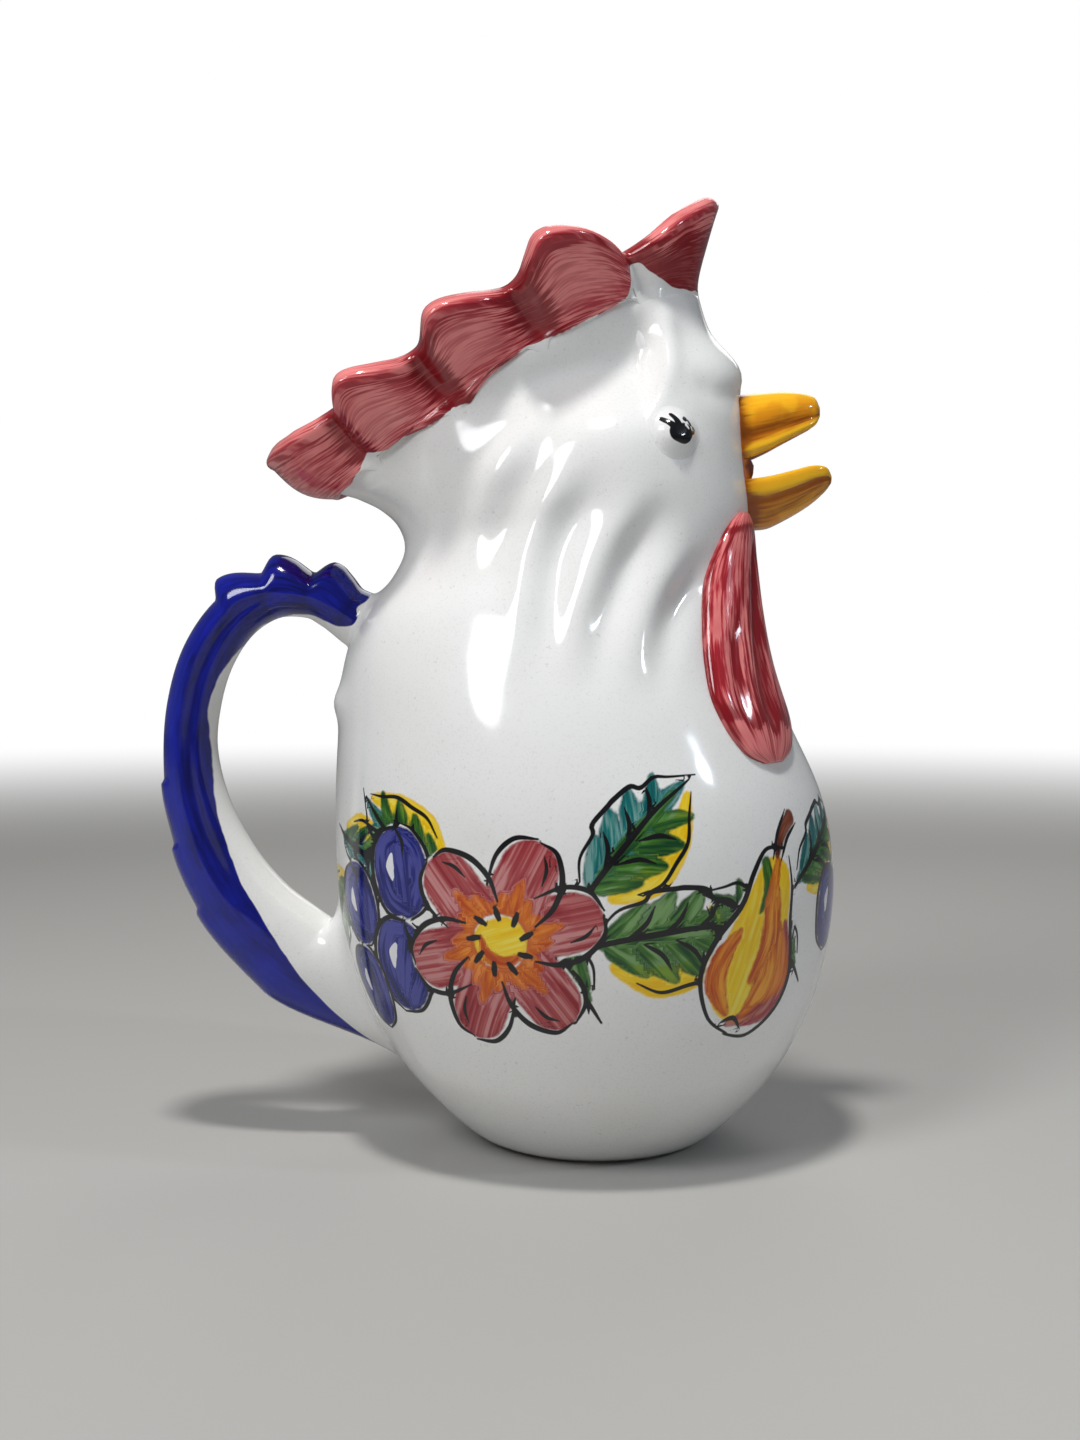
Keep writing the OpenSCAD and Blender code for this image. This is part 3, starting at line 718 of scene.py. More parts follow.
def drawPear(brush, u, v, size, angle=0.0):
    k = size / 30
    draw = brush.stencil(u, v, angle, k)
    draw("bare", [(0, -11), (0.5, 2), (1, 17)], [16.4, 13, 8])
    draw("yellow", [(-1, -11), (0, 2), (1, 17)], [13.8, 10.6, 6.4])
    for x, low, high, wide in ((9.5, -18, 6, 5.0), (4.6, -22, 14, 4.4), (1.4, -12, 22, 2.8)):
        draw("orange", [(x * 0.4, low), (x + 1.6, (low * 2 + high) / 3), (x * 0.8, (low + high * 2) / 3),
                        (x * 0.4 + 1, high)], [1.2, wide, wide * 0.9, 1.2])
    draw("orange", [(-5, -22), (-11.4, -15), (-11.6, -7), (-8, 1)], [1.2, 3.8, 3.4, 1.0])
    draw("red", [(3, -24), (10.6, -19), (13.6, -10), (11.4, -1), (8.6, 6)], [1.2, 3.2, 3.6, 2.4, 0.8])
    draw("red", [(-3, -25), (3, -22), (8, -18)], [1.0, 2.2, 0.9])
    draw("green", [(-3.4, 21), (-1, 14), (-2.4, 7)], [1.8, 2.0, 0.6])
    draw("ink", [(3, 26), (-4, 24.4), (-7.6, 17), (-9.6, 8), (-15.4, -3), (-17, -14), (-10.4, -24.5), (0, -28)],
         1.25)
    draw("ink", [(-3, -28), (7, -27), (15.4, -18.5), (17, -8), (11.2, 6), (9.0, 16), (6.4, 23.5)], 1.1)
    draw("ink", [(-5.4, -25), (-1.4, -23), (2.6, -25.4)], 0.95)
    draw("brown", [(1, 24), (2.5, 30), (6.4, 35)], [1.2, 1.8 / k, 2.4 / k])
    draw("ink", [(-0.6, 23), (0.6, 30), (4.0, 36.5)], 0.85)
    draw("ink", [(3.0, 23), (5.0, 29), (9.0, 33.6)], 0.85)


# Motifs of half the band: what draws them, u, v and the values that it takes
bandMotifs = [
    (drawLeaf, -84, 80, 214, 36, 32), (drawLeaf, -88, 94, 168, 30, 28, True, "teal"),
    (drawLeaf, -42, 58, 214, 34, 34, True), (drawLeaf, -42, 86, 148, 34, 32, False, "teal"),
    (drawLeaf, -2, 84, 46, 38, 36, False, "teal"), (drawLeaf, 1, 70, 4, 42, 36),
    (drawLeaf, -2, 55, -42, 38, 36, True), (drawPlum, -58, 87, 11.4, 10), (drawPlum, -79, 76, 10.6, 24),
    (drawPlum, -60, 61, 11.8, -12), (drawPlum, -79, 52, 10.4, 8), (drawBlossom, -26, 70, 27, 12),
    (drawLeaf, 66, 84, 26, 36, 32, False, "teal"), (drawLeaf, 66, 60, -34, 38, 34, True),
    (drawPlum, 88, 74, 10.8, -8), (drawPear, 50, 69, 29.5, -14)]


def paintBand(points, start, end):
    # distances to every stroke, on the outer wall's points between start and end
    z = points[start:end, 2]
    at = start + np.where((z > paint["low"]) & (z < paint["high"]))[0]
    brush = Brush(*bandPlace(points[at]))
    for side in (0.0, paint["around"] / 2):
        for draw, u, v, *values in bandMotifs:
            draw(brush, side + u, v, *values)

    def spread(values, empty):
        whole = np.full((len(points), *values.shape[1:]), empty)
        whole[at] = values
        return whole
    fields = {layer: spread(values, farAway) for layer, values in brush.fields.items()}
    firstX, height, tall, broad = paint["mouthEdge"]
    x, y = points[start:end, 0], np.abs(points[start:end, 1])
    mouth = (((y / broad) ** 3 + (np.abs(z - height) / tall) ** 3) ** (1 / 3) - 1) * broad
    height, tall, broad = paint["mouthBrown"]
    middle = np.where(x > firstX, (np.hypot(y / broad, (z - height) / tall) - 1) * 3, farAway)
    for layer, distance in (("orange", np.maximum(mouth, firstX - x)), ("brown", middle)):
        fields[layer][start:end] = np.minimum(fields[layer][start:end], distance)
    print("painted band:", brush.count, "strokes")
    return {**{name: packed(*(fields[layer] for layer in layers)) for name, layers in bandLayers.items()},
            "streak": spread(brush.streak, 0.0), "inkLine": spread(brush.inkLine, (farAway, 0.0, 0.0))}


def frontSeat(y, z, lift, face=1, low=10.0, high=17.0):
    # point of the wall at half breadth y and height z, on the front, face 1, or the rear, face -1
    y, z = np.broadcast_arrays(np.asarray(y, float), np.asarray(z, float))
    low, high = np.full(y.shape, low), np.full(y.shape, high)
    for _ in range(20):
        middle = (low + high) / 2
        a = np.degrees(np.arcsin(np.clip(y / splineRows(stations, middle)[..., 4], -1, 1)))
        a = a if face > 0 else 180 - a
        under = wallPoint(middle, a)[..., 2] < z
        low, high = np.where(under, middle, low), np.where(under, high, middle)
    return skinPoint(middle, a, lift), wallNormal(middle, a)


# Comb: the mouth's rim flares out and up in lobes. Tables run from the front, 0, to the rear, 180
comb = {
    "firstValley": 46.0,
    "crest": [(0, 26.2), (8, 25.2), (16, 23.0), (24, 20.6), (31, 17.4), (37, 14.2), (40, 12.2), (43.5, 10.2),
              (46, 12.4),
              (50, 18.2), (55, 24.2), (60, 27.6), (64, 28.9), (67, 28.0), (71, 23.4), (75, 18.0), (79, 14.6),
              (83, 17.4), (88, 22.0), (92, 25.0), (95.5, 26.2), (98.5, 25.2), (102, 21.2), (105.5, 16.8),
              (108.5, 14.8), (112, 16.8), (117, 21.4), (121, 24.8), (125, 26.5), (128, 25.4), (132, 21.8),
              (136, 18.0), (140, 16.6), (146, 18.6), (155, 21.0), (165, 22.2), (180, 23.0)],
    "waves": [(0, 0.55), (20, 0.7), (34, 0.45), (43, 0.0), (49, 0.55), (56, 0.9), (64, 1.0), (70, 0.92),
              (75, 0.55), (79, 0.0), (84, 0.5), (90, 0.88), (96, 1.0), (101, 0.85), (105, 0.5), (108.5, 0.0),
              (113, 0.5), (119, 0.88), (126, 1.0), (132, 0.85), (136.5, 0.45), (140, 0.0), (146, 0.45),
              (158, 0.8), (180, 0.85)],
    "paintEdge": [(0, 0.4), (10, 0.9), (22, 0.8), (30, -0.5), (36, -4.0), (41, -8.5), (45, -8.0), (49, -2.0),
                  (53, 0.6), (62, 2.2), (73, 2.4), (77, 1.4), (82, 0.8), (88, 0.9), (94, 1.2), (99, 2.6),
                  (104, 4.2), (109, 2.6), (116, 2.8), (123, 1.2), (130, -0.6), (137, -3.0), (143, -2.0),
                  (148, 0.2), (156, 1.5), (168, 1.0), (180, 0.4)],
    "flare": 36.0,
    "lean": 7.0,
    "pointLean": 5.0,
    "lip": 6.2,
    "lipShares": (0.82, 0.24),   # of the lip's thickness: in a valley, and what a lobe adds
    "lipFlat": 0.6,          # below 1 the lip's top is flat with round corners
    "crownIn": 4.4,          # at the crown the valleys fold in and the lobes stand out
    "crownOut": 3.0,
    "rootOut": 2.1,          # how far a lobe's root stands off the neck
    "belly": 2.6,
    "skirt": 4.5,            # how far the comb reaches down the neck where it grows out without a step
    "pointEdge": (44, 30),   # angles over which the front point's shape takes over
    "pointBreadth": 14,
    "insidePaint": (3.5, 3.5),   # how far the red runs down the inside: in a valley, and what a lobe adds
    # the root's rows: share of the skirt, and lift
    "rootRows": ((1.0, 0.0), (0.97, 0.35), (0.85, 0.62), (0.6, 0.82), (0.3, 0.95)),
    "ease": 0.3,             # share of the height in which the wall bends into the flare
    "columns": 780,
}
rim = stations[-1]
rimWay = np.array([rim[2] - rim[0], rim[3] - rim[1]])
rimReach = np.linalg.norm(rimWay) / 2
rimWay = rimWay / np.linalg.norm(rimWay)
rimUp = np.array([-rimWay[1], 0, rimWay[0]])


def rimDirections(a):
    a = np.radians(a)
    x, y = np.cos(a) * rim[4], np.sin(a) * rimReach
    out = unit(np.stack([rimWay[0] * x, y, rimWay[1] * x], -1))
    c, s = math.cos(math.radians(comb["flare"])), math.sin(math.radians(comb["flare"]))
    return c * rimUp + s * out, c * out - s * rimUp


def softTable(b, table, blur=2.2):
    # a table of angles and values, rounded over a few degrees
    knots, values = np.array(table, float).T
    offsets = np.linspace(-1, 1, 9)
    weights = np.cos(offsets * np.pi / 2.4)
    return sum(w * np.interp(180 - np.abs(180 - np.abs(b + o * blur)), knots, values)
               for o, w in zip(offsets, weights)) / weights.sum()


def combTones(up, waves, slope, isPoint):
    # how dark and how light the red is, with glaze pooling and painted shade in the valleys, folds and lip edges, and
    # painted highlights on the lip's top and the lobes' middles: up is the share of the height, over 1 on the lip and
    # the inside
    rearHalf = smoothStep(0.02, 0.12, -slope)
    poolAndShade = bell(waves, 0, 0.42) + rearHalf * smoothStep(1.0, 0.55, waves) * 0.85
    # on the front point, the dark below its lip is painted shade
    poolAndShade = poolAndShade * (1 - 0.6 * isPoint) + 0.95 * isPoint * smoothStep(1.05, 0.6, up)
    lipLine = bell(up, 0.95, 0.06) * (0.3 + 0.6 * rearHalf)
    lipLine = lipLine + bell(up, 1.40, 0.05) * 0.4 + bell(up, -0.14, 0.10) * 0.35
    lipTop = smoothStep(1.01, 1.10, up) * smoothStep(1.42, 1.34, up) * (1 - 0.7 * bell(waves, 0, 0.2))
    middle = smoothStep(0.55, 0.95, waves) * smoothStep(0.15, 0.4, up) * smoothStep(0.95, 0.75, up)
    return np.clip(np.maximum(poolAndShade, lipLine), 0, 1), np.maximum(lipTop, 0.85 * middle * (1 - isPoint))


def makeComb(name, start, end, material):
    columns = max(8, round((end - start) / 360 * comb["columns"] / 2) * 2)
    a = np.linspace(start, end, columns + 1)
    b = np.abs((a + 180) % 360 - 180)
    turn = np.radians(a)
    way, out = rimDirections(a)
    height = softTable(b, comb["crest"])
    wave = softTable(b, comb["waves"], 1.8)
    slope = softTable(b + 1, comb["waves"], 3.2) - softTable(b - 1, comb["waves"], 3.2)
    edge = softTable(b, comb["paintEdge"], 1.0)
    lip = comb["lip"] * (comb["lipShares"][0] + comb["lipShares"][1] * wave)
    straight = height - lip / 2
    lean = comb["pointLean"] * np.maximum(0, np.cos(turn)) ** 8 - comb["lean"] * np.sin(turn) ** 2
    back = np.array([rimWay[0], 0, rimWay[1]]) * lean[:, None]
    point = smoothStep(*comb["pointEdge"], b)
    crownShift = (comb["crownIn"] + comb["crownOut"]) * wave - comb["crownIn"]
    crownShift = crownShift * (1 - point) + 0.4 * point
    rootShift = comb["rootOut"] * wave ** 0.8 * (1 - 0.85 * point)
    base = wallPoint(topStation, a)
    local = np.linalg.norm(base - wallPoint(topStation - 0.5, a), axis=-1) * 2
    normal = wallNormal(topStation, a)
    skin = skinPoint(topStation, a)
    hollow = ((skin - base) * normal).sum(-1)
    innerHollow = np.minimum(0, hollow + bodyMesh["hollowLeft"])
    wallWay = unit(skin - skinPoint(topStation - 0.12, a))
    # a lobe stands off the neck with a round edge; elsewhere the comb grows out of the neck without a step
    stands = smoothStep(0.2, 1.2, rootShift)
    skirt = np.maximum(edge, 0.7) * stands + comb["skirt"] * (1 - stands)
    rows, marks = [], []

    def addRow(points, up, bare):
        # up is the share of the height and bare is how far the points lie past the paint's edge
        rows.append(points)
        marks.append(packed(up, bare))

    def sheet(f, into, sunk=hollow):
        # points at share f of the height, some way into the clay
        rise = (straight * f)[:, None] * way + back * ((straight * f / 28) ** 2)[:, None]
        ease = comb["ease"] * (1 - np.exp(-f / comb["ease"]) - f * f * (1 - np.exp(-1 / comb["ease"])))
        on = base + normal * (sunk * smoothStep(0.85, 0, f))[:, None]
        on = on + rise + (wallWay - way) * (straight * ease)[:, None]
        shift = rootShift * (1 - f) ** 1.5 + crownShift * f + comb["belly"] * wave * np.sin(np.pi * f)
        return on + out * (shift - into)[:, None]
    addRow(skinPoint(topStation - (skirt + 2.5 * (1 - stands)) / local, a, -0.4 - 0.2 * (1 - stands)),
           -0.2, skirt - edge)
    for share, lift in comb["rootRows"]:
        flush = 0.06 - 0.26 * share + rootShift * (1 - share) ** 2
        lift = lift * (0.15 + rootShift) * stands + flush * (1 - stands)
        addRow(skinPoint(topStation - skirt * share / local, a, lift), -0.2 * share, skirt * share - edge)
    for f in np.linspace(0.04, 1, 16):
        addRow(sheet(f, 0), f, -straight * f - edge)
    crown = sheet(1.0, 0)
    flat = comb["lipFlat"] + (1 - comb["lipFlat"]) * bell(b, 0, comb["pointBreadth"])
    for turn in np.linspace(0, np.pi, 13)[1:-1]:
        c, s = math.cos(turn), math.sin(turn)
        c, s = math.copysign(1, c) * abs(c) ** flat, s ** flat
        addRow(crown + (way * s[:, None] - out * (1 - c)[:, None]) * (lip / 2)[:, None], 1.0 + 0.2 * (1 - c), -9.0)
    ragged = comb["insidePaint"][0] + comb["insidePaint"][1] * wave
    thick = wall["thickness"]
    for f in np.linspace(1, 0.04, 11):
        addRow(sheet(f, thick + (lip - thick) * f, innerHollow), 2.4 - f, straight * (1 - f) - ragged)
    for depth, lift in ((0.4, 0.4), (1.6, 0.3), (1.9, -0.4)):
        addRow(wallPoint(topStation - depth / local, a, thick + lift) + normal * innerHollow[:, None],
               2.5, straight + depth - ragged)
    n = len(rows)
    points = np.stack(rows, 1).reshape(-1, 3)
    up, bare = np.stack(marks, 1).reshape(-1, 2).T
    ends = [s.mean(0) * 0.5 + s[n // 3] * 0.5 for s in (points[:n], points[-n:])]
    count = len(points)
    faces = [gridFaces(columns + 1, n), poleFaces(count, np.arange(n), False),
             poleFaces(count + 1, columns * n + np.arange(n), True)]
    arc, waves, slope, isPoint = (np.repeat(v, n) for v in (pathLength(crown), wave, slope, point))
    # tone: glaze pooling with painted shade, painted highlight, and the paint's edge
    poolAndShade, light = combTones(up, waves, slope, isPoint)
    extra = np.zeros((2, 3))
    fields = {"streak": np.vstack([packed(up * 24 + arc * 0.08, arc, 2.0), extra]),
              "tone": np.vstack([packed(poolAndShade, light, bare), extra])}
    piece = makePiece(name, np.vstack([points, ends]), [f[:, ::-1] for f in faces], material, fields)
    print(name, len(piece.data.polygons), "faces")
    return piece


def closeLoft(name, rings, tones, streaks, material, outward=True):
    # closed piece through rings of points, with a pole at both ends
    rings, tones, streaks = (np.array(v) for v in (rings, tones, streaks))
    n, count = rings.shape[0], rings.shape[1]
    faces = [gridFaces(n, count), poleFaces(n * count, np.arange(count), False),
             poleFaces(n * count + 1, (n - 1) * count + np.arange(count), True)]
    if not outward:
        faces = [f[:, ::-1] for f in faces]
    points, tone, streak = (np.vstack([v.reshape(-1, 3), v[0].mean(0), v[-1].mean(0)])
                            for v in (rings, tones, streaks))
    piece = makePiece(name, points, faces, material, {"tone": tone, "streak": streak})
    print(name, len(piece.data.polygons), "faces")
    return piece


# Beaks: rows run from root to tip. Sections run from the middle of the top to the middle of the
# bottom, as shares of the half width and the half height, with how dark and how light the glaze is: painted shade on
# the undersides and in the groove, painted highlights on the tops and rims
beak = {
    "upperLength": 22.0,
    "lowerLength": 25.5,
    "width": 25.0,
    # length, middle height, half height and half width, as shares
    "upperShares": [[0.00, 0.7585, 0.405, 0.500], [0.25, 0.7650, 0.360, 0.430], [0.50, 0.7710, 0.305, 0.350],
                    [0.75, 0.7755, 0.240, 0.265], [0.92, 0.7775, 0.175, 0.180], [1.00, 0.7775, 0.060, 0.070]],
    # length, rim height, bottom height and half width, as shares
    "lowerShares": [[0.00, 0.7025, 0.6515, 0.490], [0.25, 0.7065, 0.6535, 0.450], [0.50, 0.7125, 0.6640, 0.385],
                    [0.75, 0.7185, 0.6780, 0.310], [0.92, 0.7175, 0.6915, 0.225], [1.00, 0.7090, 0.7010, 0.100]],
    "upperSection": [(0.00, 1.00, 0.0, 0.3), (0.34, 0.95, 0.0, 0.8), (0.66, 0.72, 0.0, 0.6), (0.88, 0.34, 0.1, 0.2),
                     (0.93, -0.08, 0.35, 0.0), (0.90, -0.42, 0.75, 0.0), (0.97, -0.64, 0.35, 0.7),
                     (1.00, -0.84, 0.0, 1.0), (0.88, -1.00, 0.2, 0.6), (0.66, -0.92, 0.8, 0.0),
                     (0.36, -0.66, 0.9, 0.0), (0.00, -0.55, 0.9, 0.0)],
    "lowerSection": [(0.00, -0.20, 0.9, 0.0), (0.36, -0.12, 0.9, 0.0), (0.56, 0.20, 0.8, 0.0), (0.66, 0.70, 0.4, 0.2),
                     (0.76, 0.98, 0.0, 0.9), (0.92, 1.00, 0.0, 0.9), (1.00, 0.80, 0.0, 0.7), (1.00, 0.42, 0.0, 1.0),
                     (0.93, 0.16, 0.85, 0.0), (0.88, -0.18, 0.65, 0.0), (0.70, -0.66, 0.45, 0.1),
                     (0.38, -0.94, 0.3, 0.2), (0.00, -1.00, 0.3, 0.2)],
    "rows": 40,
    "along": 5,              # points on each step of a section
    "sink": 0.7,
    "cornerWidth": 0.09,     # dark corner at the root, as a share of the length
    "upperSeed": 8.0,
    "lowerSeed": 5.0,
}
faceX = stations[13][2]


def makeBeak(name, part, material):
    section, length = beak[part + "Section"], beak[part + "Length"]
    steps = (len(section) - 1) * beak["along"]
    half = splineRows(section, np.linspace(0, len(section) - 1, steps + 1))
    full = np.vstack([half, (half * [-1, 1, 1, 1])[1:-1][::-1]])
    across, up, dark, light = full.T
    place = np.cumsum(np.linalg.norm(np.diff(full[:, :2], axis=0, prepend=full[-1:, :2]), axis=1))
    rings, tones, streaks = [], [], []
    at = 1 - (1 - np.linspace(0, 1, beak["rows"])) ** 1.6
    shares = beak[part + "Shares"]
    for way, first, second, halfBreadth in splineRows(shares, at * (len(shares) - 1)):
        if part == "upper":
            middle, tall = first * totalHeight, second * beak["width"]
        else:
            middle, tall = (first + second) / 2 * totalHeight, (first - second) / 2 * totalHeight
        y, z = across * halfBreadth * beak["width"], middle + up * tall
        seat = frontSeat(y, z, -beak["sink"])[0][:, 0]
        reach = way * length
        blend = smoothStep(0.0, 0.4, way)
        x = (seat + reach + beak["sink"] * min(1, way * 6)) * (1 - blend) + np.maximum(seat, faceX + reach) * blend
        rings.append(packed(x, y, z))
        corner = bell(way, 0, beak["cornerWidth"]) * 0.9
        tip = smoothStep(0.93, 1.0, way) * 0.25
        # dark: painted shade under the beak and in its groove, with the dark corner at the root; light: painted
        # highlight
        tones.append(packed(np.clip(dark + corner + tip, 0, 1), light * (1 - corner), -9))
        streaks.append(packed(place * 5, way * 24, beak[part + "Seed"]))
    return closeLoft(name, rings, tones, streaks, material, False)


# Wattle: station, middle angle and half breadth in degrees
wattle = {
    "rows": [[11.88, 23.0, 3.0], [11.70, 24.0, 8.3], [11.35, 25.4, 12.6], [10.80, 27.2, 15.4], [10.20, 28.7, 16.4],
             [9.60, 30.2, 16.8], [9.00, 31.8, 17.0], [8.50, 33.2, 17.0], [8.12, 33.6, 16.0], [7.86, 34.4, 13.6],
             [7.66, 35.8, 9.8], [7.54, 36.6, 4.2]],
    "thickness": 6.3,
    "along": 110,
    "across": 44,
    "groove": 2.3,
    "grooveWidth": 0.16,          # widths and places across are shares of the half breadth
    "secondGroove": (0.62, 0.13, 0.55),     # place behind the first, width, and depth as a share of it
    "bend": (-0.35, 0.45),        # where the first groove starts, and how far it moves towards the end
    # painted highlights along the ridges beside the groove
    "lightLines": ((0.30, 0.55), (-0.42, 0.45)),   # place beside the groove, and strength
    "roundness": 0.42,
}


def makeWattle(name, side, material):
    table = splineRows(wattle["rows"], np.linspace(0, len(wattle["rows"]) - 1, wattle["along"]))
    down = np.concatenate([[0], np.cumsum(np.abs(np.diff(table[:, 0])))])
    down /= down[-1]
    u = -np.cos(np.linspace(0, np.pi, wattle["across"]))
    width, (place, secondWidth, depth) = wattle["grooveWidth"], wattle["secondGroove"]
    rings, tones, streaks = [], [], []
    for v, (s, middle, breadth) in zip(down, table):
        a = side * (middle + breadth * u)
        end = math.sin(math.pi * (0.012 + 0.976 * v)) ** wattle["roundness"]
        dome = np.maximum(0, 1 - u**2) ** wattle["roundness"] * end
        past = u - wattle["bend"][0] - wattle["bend"][1] * v
        inside = smoothStep(0.06, 0.2, v) * smoothStep(0.95, 0.82, v)
        groove = bell(past, 0, width) * inside
        second = bell(past, place, secondWidth) * smoothStep(0.35, 0.6, v) * inside * depth
        lift = wattle["thickness"] * dome - wattle["groove"] * (groove + second) * dome
        rings.append(np.concatenate([skinPoint(s, a, lift + 0.1), skinPoint(s, a[1:-1][::-1], -1.0)]))
        # the red is dark in the grooves, along the edges and in a cap and a foot line, partly glaze pooling and
        # partly painted shade; the lines beside the grooves are painted highlights
        shade = 0.35 * smoothStep(-0.9, -0.2, past) * smoothStep(0.9, 0.1, past)
        poolAndShade = 1.1 * groove + 0.9 * second + bell(np.abs(u), 1, 0.07) * 0.45 + shade * inside + 0.18
        notch = v - (0.90 + 0.022 * np.sin(u * 13 + 1) * (1 - u * u) - 0.05 * u * u)
        foot = smoothStep(-0.10, -0.015, notch) * smoothStep(0.012, 0.0, notch)
        cap = bell(v - 0.02 * u * u, 0.055, 0.016) + 0.55 * smoothStep(0.06, 0.08, v) * smoothStep(0.24, 0.10, v)
        poolAndShade = np.clip(np.maximum(np.maximum(poolAndShade, foot * 0.95), cap), 0, 1)
        light = smoothStep(0.0, 0.02, notch - 0.005) * 0.8 + smoothStep(0.05, 0.03, v) * 0.6
        for beside, strength in wattle["lightLines"]:
            light = light + strength * bell(past, beside, width) * inside
        for values, row in ((tones, packed(poolAndShade, np.clip(light, 0, 1), -9)),
                            (streaks, packed(u * 15, v * 75.0, 11.0 + side))):
            values.append(np.concatenate([row, row[1:-1][::-1]]))
    return closeLoft(name, rings, tones, streaks, material, side < 0)


# Eye: a low dome with a painted pupil and short lashes, in the side view. Strokes are places and
# their half widths
eye = {
    "middle": (0.287 * halfLength, 0.739 * totalHeight),
    "radius": 6.9,
    "height": 3.0,
    "rings": 46,
    "around": 110,
    "inkStrokes": [([(-0.6, -0.7), (0.9, -0.9), (2.0, -0.2)], [2.3, 2.5, 1.7]),
                   ([(1.6, -0.2), (3.2, 0.2), (4.3, 0.7)], [1.5, 1.15, 0.9]),
                   ([(-1.6, 0.4), (-2.8, 1.5), (-4.2, 2.6)], [0.95, 0.75, 0.62]),
                   ([(-0.4, 0.9), (-0.9, 2.3), (-1.7, 3.8)], [0.95, 0.75, 0.6]),
                   ([(1.5, 2.7), (1.9, 3.3)], [0.62, 0.55]),
                   ([(3.1, 1.9), (2.7, 2.6)], [0.6, 0.5])],
    "glintStrokes": [([(1.6, 1.2), (2.2, 0.5)], [0.42, 0.28]), ([(3.3, 1.1), (3.6, 0.4)], [0.3, 0.24])],
}


def sideSeat(x, z, lift, side):
    # wall's point that the side view shows at x and z
    low, high = np.full(x.shape, 11.0), np.full(x.shape, 17.0)
    for _ in range(20):
        middle = (low + high) / 2
        row = splineRows(stations, middle)
        above = (row[..., 2] - row[..., 0]) * (z - row[..., 1]) - (row[..., 3] - row[..., 1]) * (x - row[..., 0])
        low, high = np.where(above > 0, middle, low), np.where(above > 0, high, middle)
    row = splineRows(stations, middle)
    rear, front = row[..., 0:2], row[..., 2:4]
    way = front - rear
    reach = np.linalg.norm(way, axis=-1) / 2
    dot = ((x - (rear + front)[..., 0] / 2) * way[..., 0] + (z - (rear + front)[..., 1] / 2) * way[..., 1])
    a = np.degrees(np.arccos(np.clip(dot / (2 * reach**2), -1, 1)))
    return skinPoint(middle, a * side, lift)


def strokeField(flat, strokes):
    # distance to the nearest of some strokes, negative inside
    field = np.full(flat.shape[:2], farAway)
    for path, widths in strokes:
        steps = np.linspace(0, 1, 40)
        line = splineRows(path, steps * (len(path) - 1))
        for centre, r in zip(line, np.interp(steps, np.linspace(0, 1, len(widths)), widths)):
            np.minimum(field, np.hypot(*np.moveaxis(flat - centre, -1, 0)) - r, out=field)
    return field


def makeEye(name, side, material):
    radii = np.linspace(0, 1, eye["rings"] + 1)[:0:-1]
    turn = np.linspace(0, 2 * np.pi, eye["around"], endpoint=False)
    lifts = eye["height"] * smoothStep(1.0, 0.2, radii) ** 0.9
    rings, flat = [], []
    for share, lift in [(1.0, -0.8), *zip(radii, lifts)]:
        at = packed(np.cos(turn), np.sin(turn)) * share * eye["radius"]
        rings.append(sideSeat(*(at + eye["middle"]).T, lift + 0.03, side))
        flat.append(at)
    ink, glint = (strokeField(np.array(flat), eye[kind]) for kind in ("inkStrokes", "glintStrokes"))
    tones = packed(ink, glint, 9.0)
    return closeLoft(name, rings, tones, 0 * tones, material, side < 0)


# Handle: reach behind the belly, height and thickness of each section, as shares
handle = {
    "reach": 52.0,
    "thickness": 16.0,
    "width": 22.0,
    "pathShares": [[-0.120, 0.559, 1.08], [0.010, 0.573, 0.94], [0.150, 0.583, 0.86], [0.370, 0.583, 0.90],
                   [0.580, 0.560, 0.94], [0.735, 0.519, 0.97], [0.820, 0.469, 0.98], [0.845, 0.415, 1.00],
                   [0.795, 0.352, 1.20], [0.665, 0.288, 1.50], [0.475, 0.236, 1.72], [0.240, 0.196, 1.90]],
    "rings": 230,
    "sides": 84,
    "featherHeight": 4.6,
    "featherCount": 3.0,
    "featherStart": 0.016,
    "featherSpan": 0.245,
    "featherPeak": 0.74,
    "quillHeight": 1.0,                   # low overlapping feather ends on the back of the lower half
    "quillStart": 0.585,
    "quillStep": 0.115,
    "quillEnd": 0.93,
    "sideGroove": 0.17,
    "upperRoot": (157.6, 10.6, 14.0),     # height, half height and half width on the wall
    "lowerRoot": (48.2, 28.2, 15.5),
    "filletRows": 24,
    "filletPull": 0.8,
    # where blue gives way to white on the sides: x and z in the side view
    "blueEdge": [(-62.0, 168.0), (-65.9, 164.6), (-67.7, 161.6), (-70.4, 159.3), (-70.2, 156.3), (-71.9, 154.3),
                 (-76.0, 153.9), (-79.3, 155.2), (-84.8, 157.2), (-91.6, 157.2), (-99.2, 154.1), (-105.1, 148.2),
                 (-109.4, 142.9), (-113.0, 136.0), (-114.8, 129.0), (-114.6, 118.8), (-113.3, 104.5),
                 (-111.6, 95.9), (-108.6, 87.0), (-104.8, 77.3), (-99.6, 68.5), (-93.5, 58.8), (-87.3, 49.4),
                 (-81.2, 42.3), (-75.1, 36.1), (-68.4, 30.5), (-60.0, 24.0)],
}


# Inputs of the sweep: each takes the value of the same name in the dictionary, and lengths are in metres
sweepInputs = {"Rings": ("Int", 1), "Sides": ("Int", 1), "Width": ("Float", mm), "Feather Height": ("Float", mm),
               "Feather Count": ("Float", 1), "Feather Start": ("Float", 1), "Feather Span": ("Float", 1),
               "Feather Peak": ("Float", 1), "Quill Height": ("Float", mm), "Quill Start": ("Float", 1),
               "Quill Step": ("Float", 1), "Quill End": ("Float", 1), "Side Groove": ("Float", 1)}


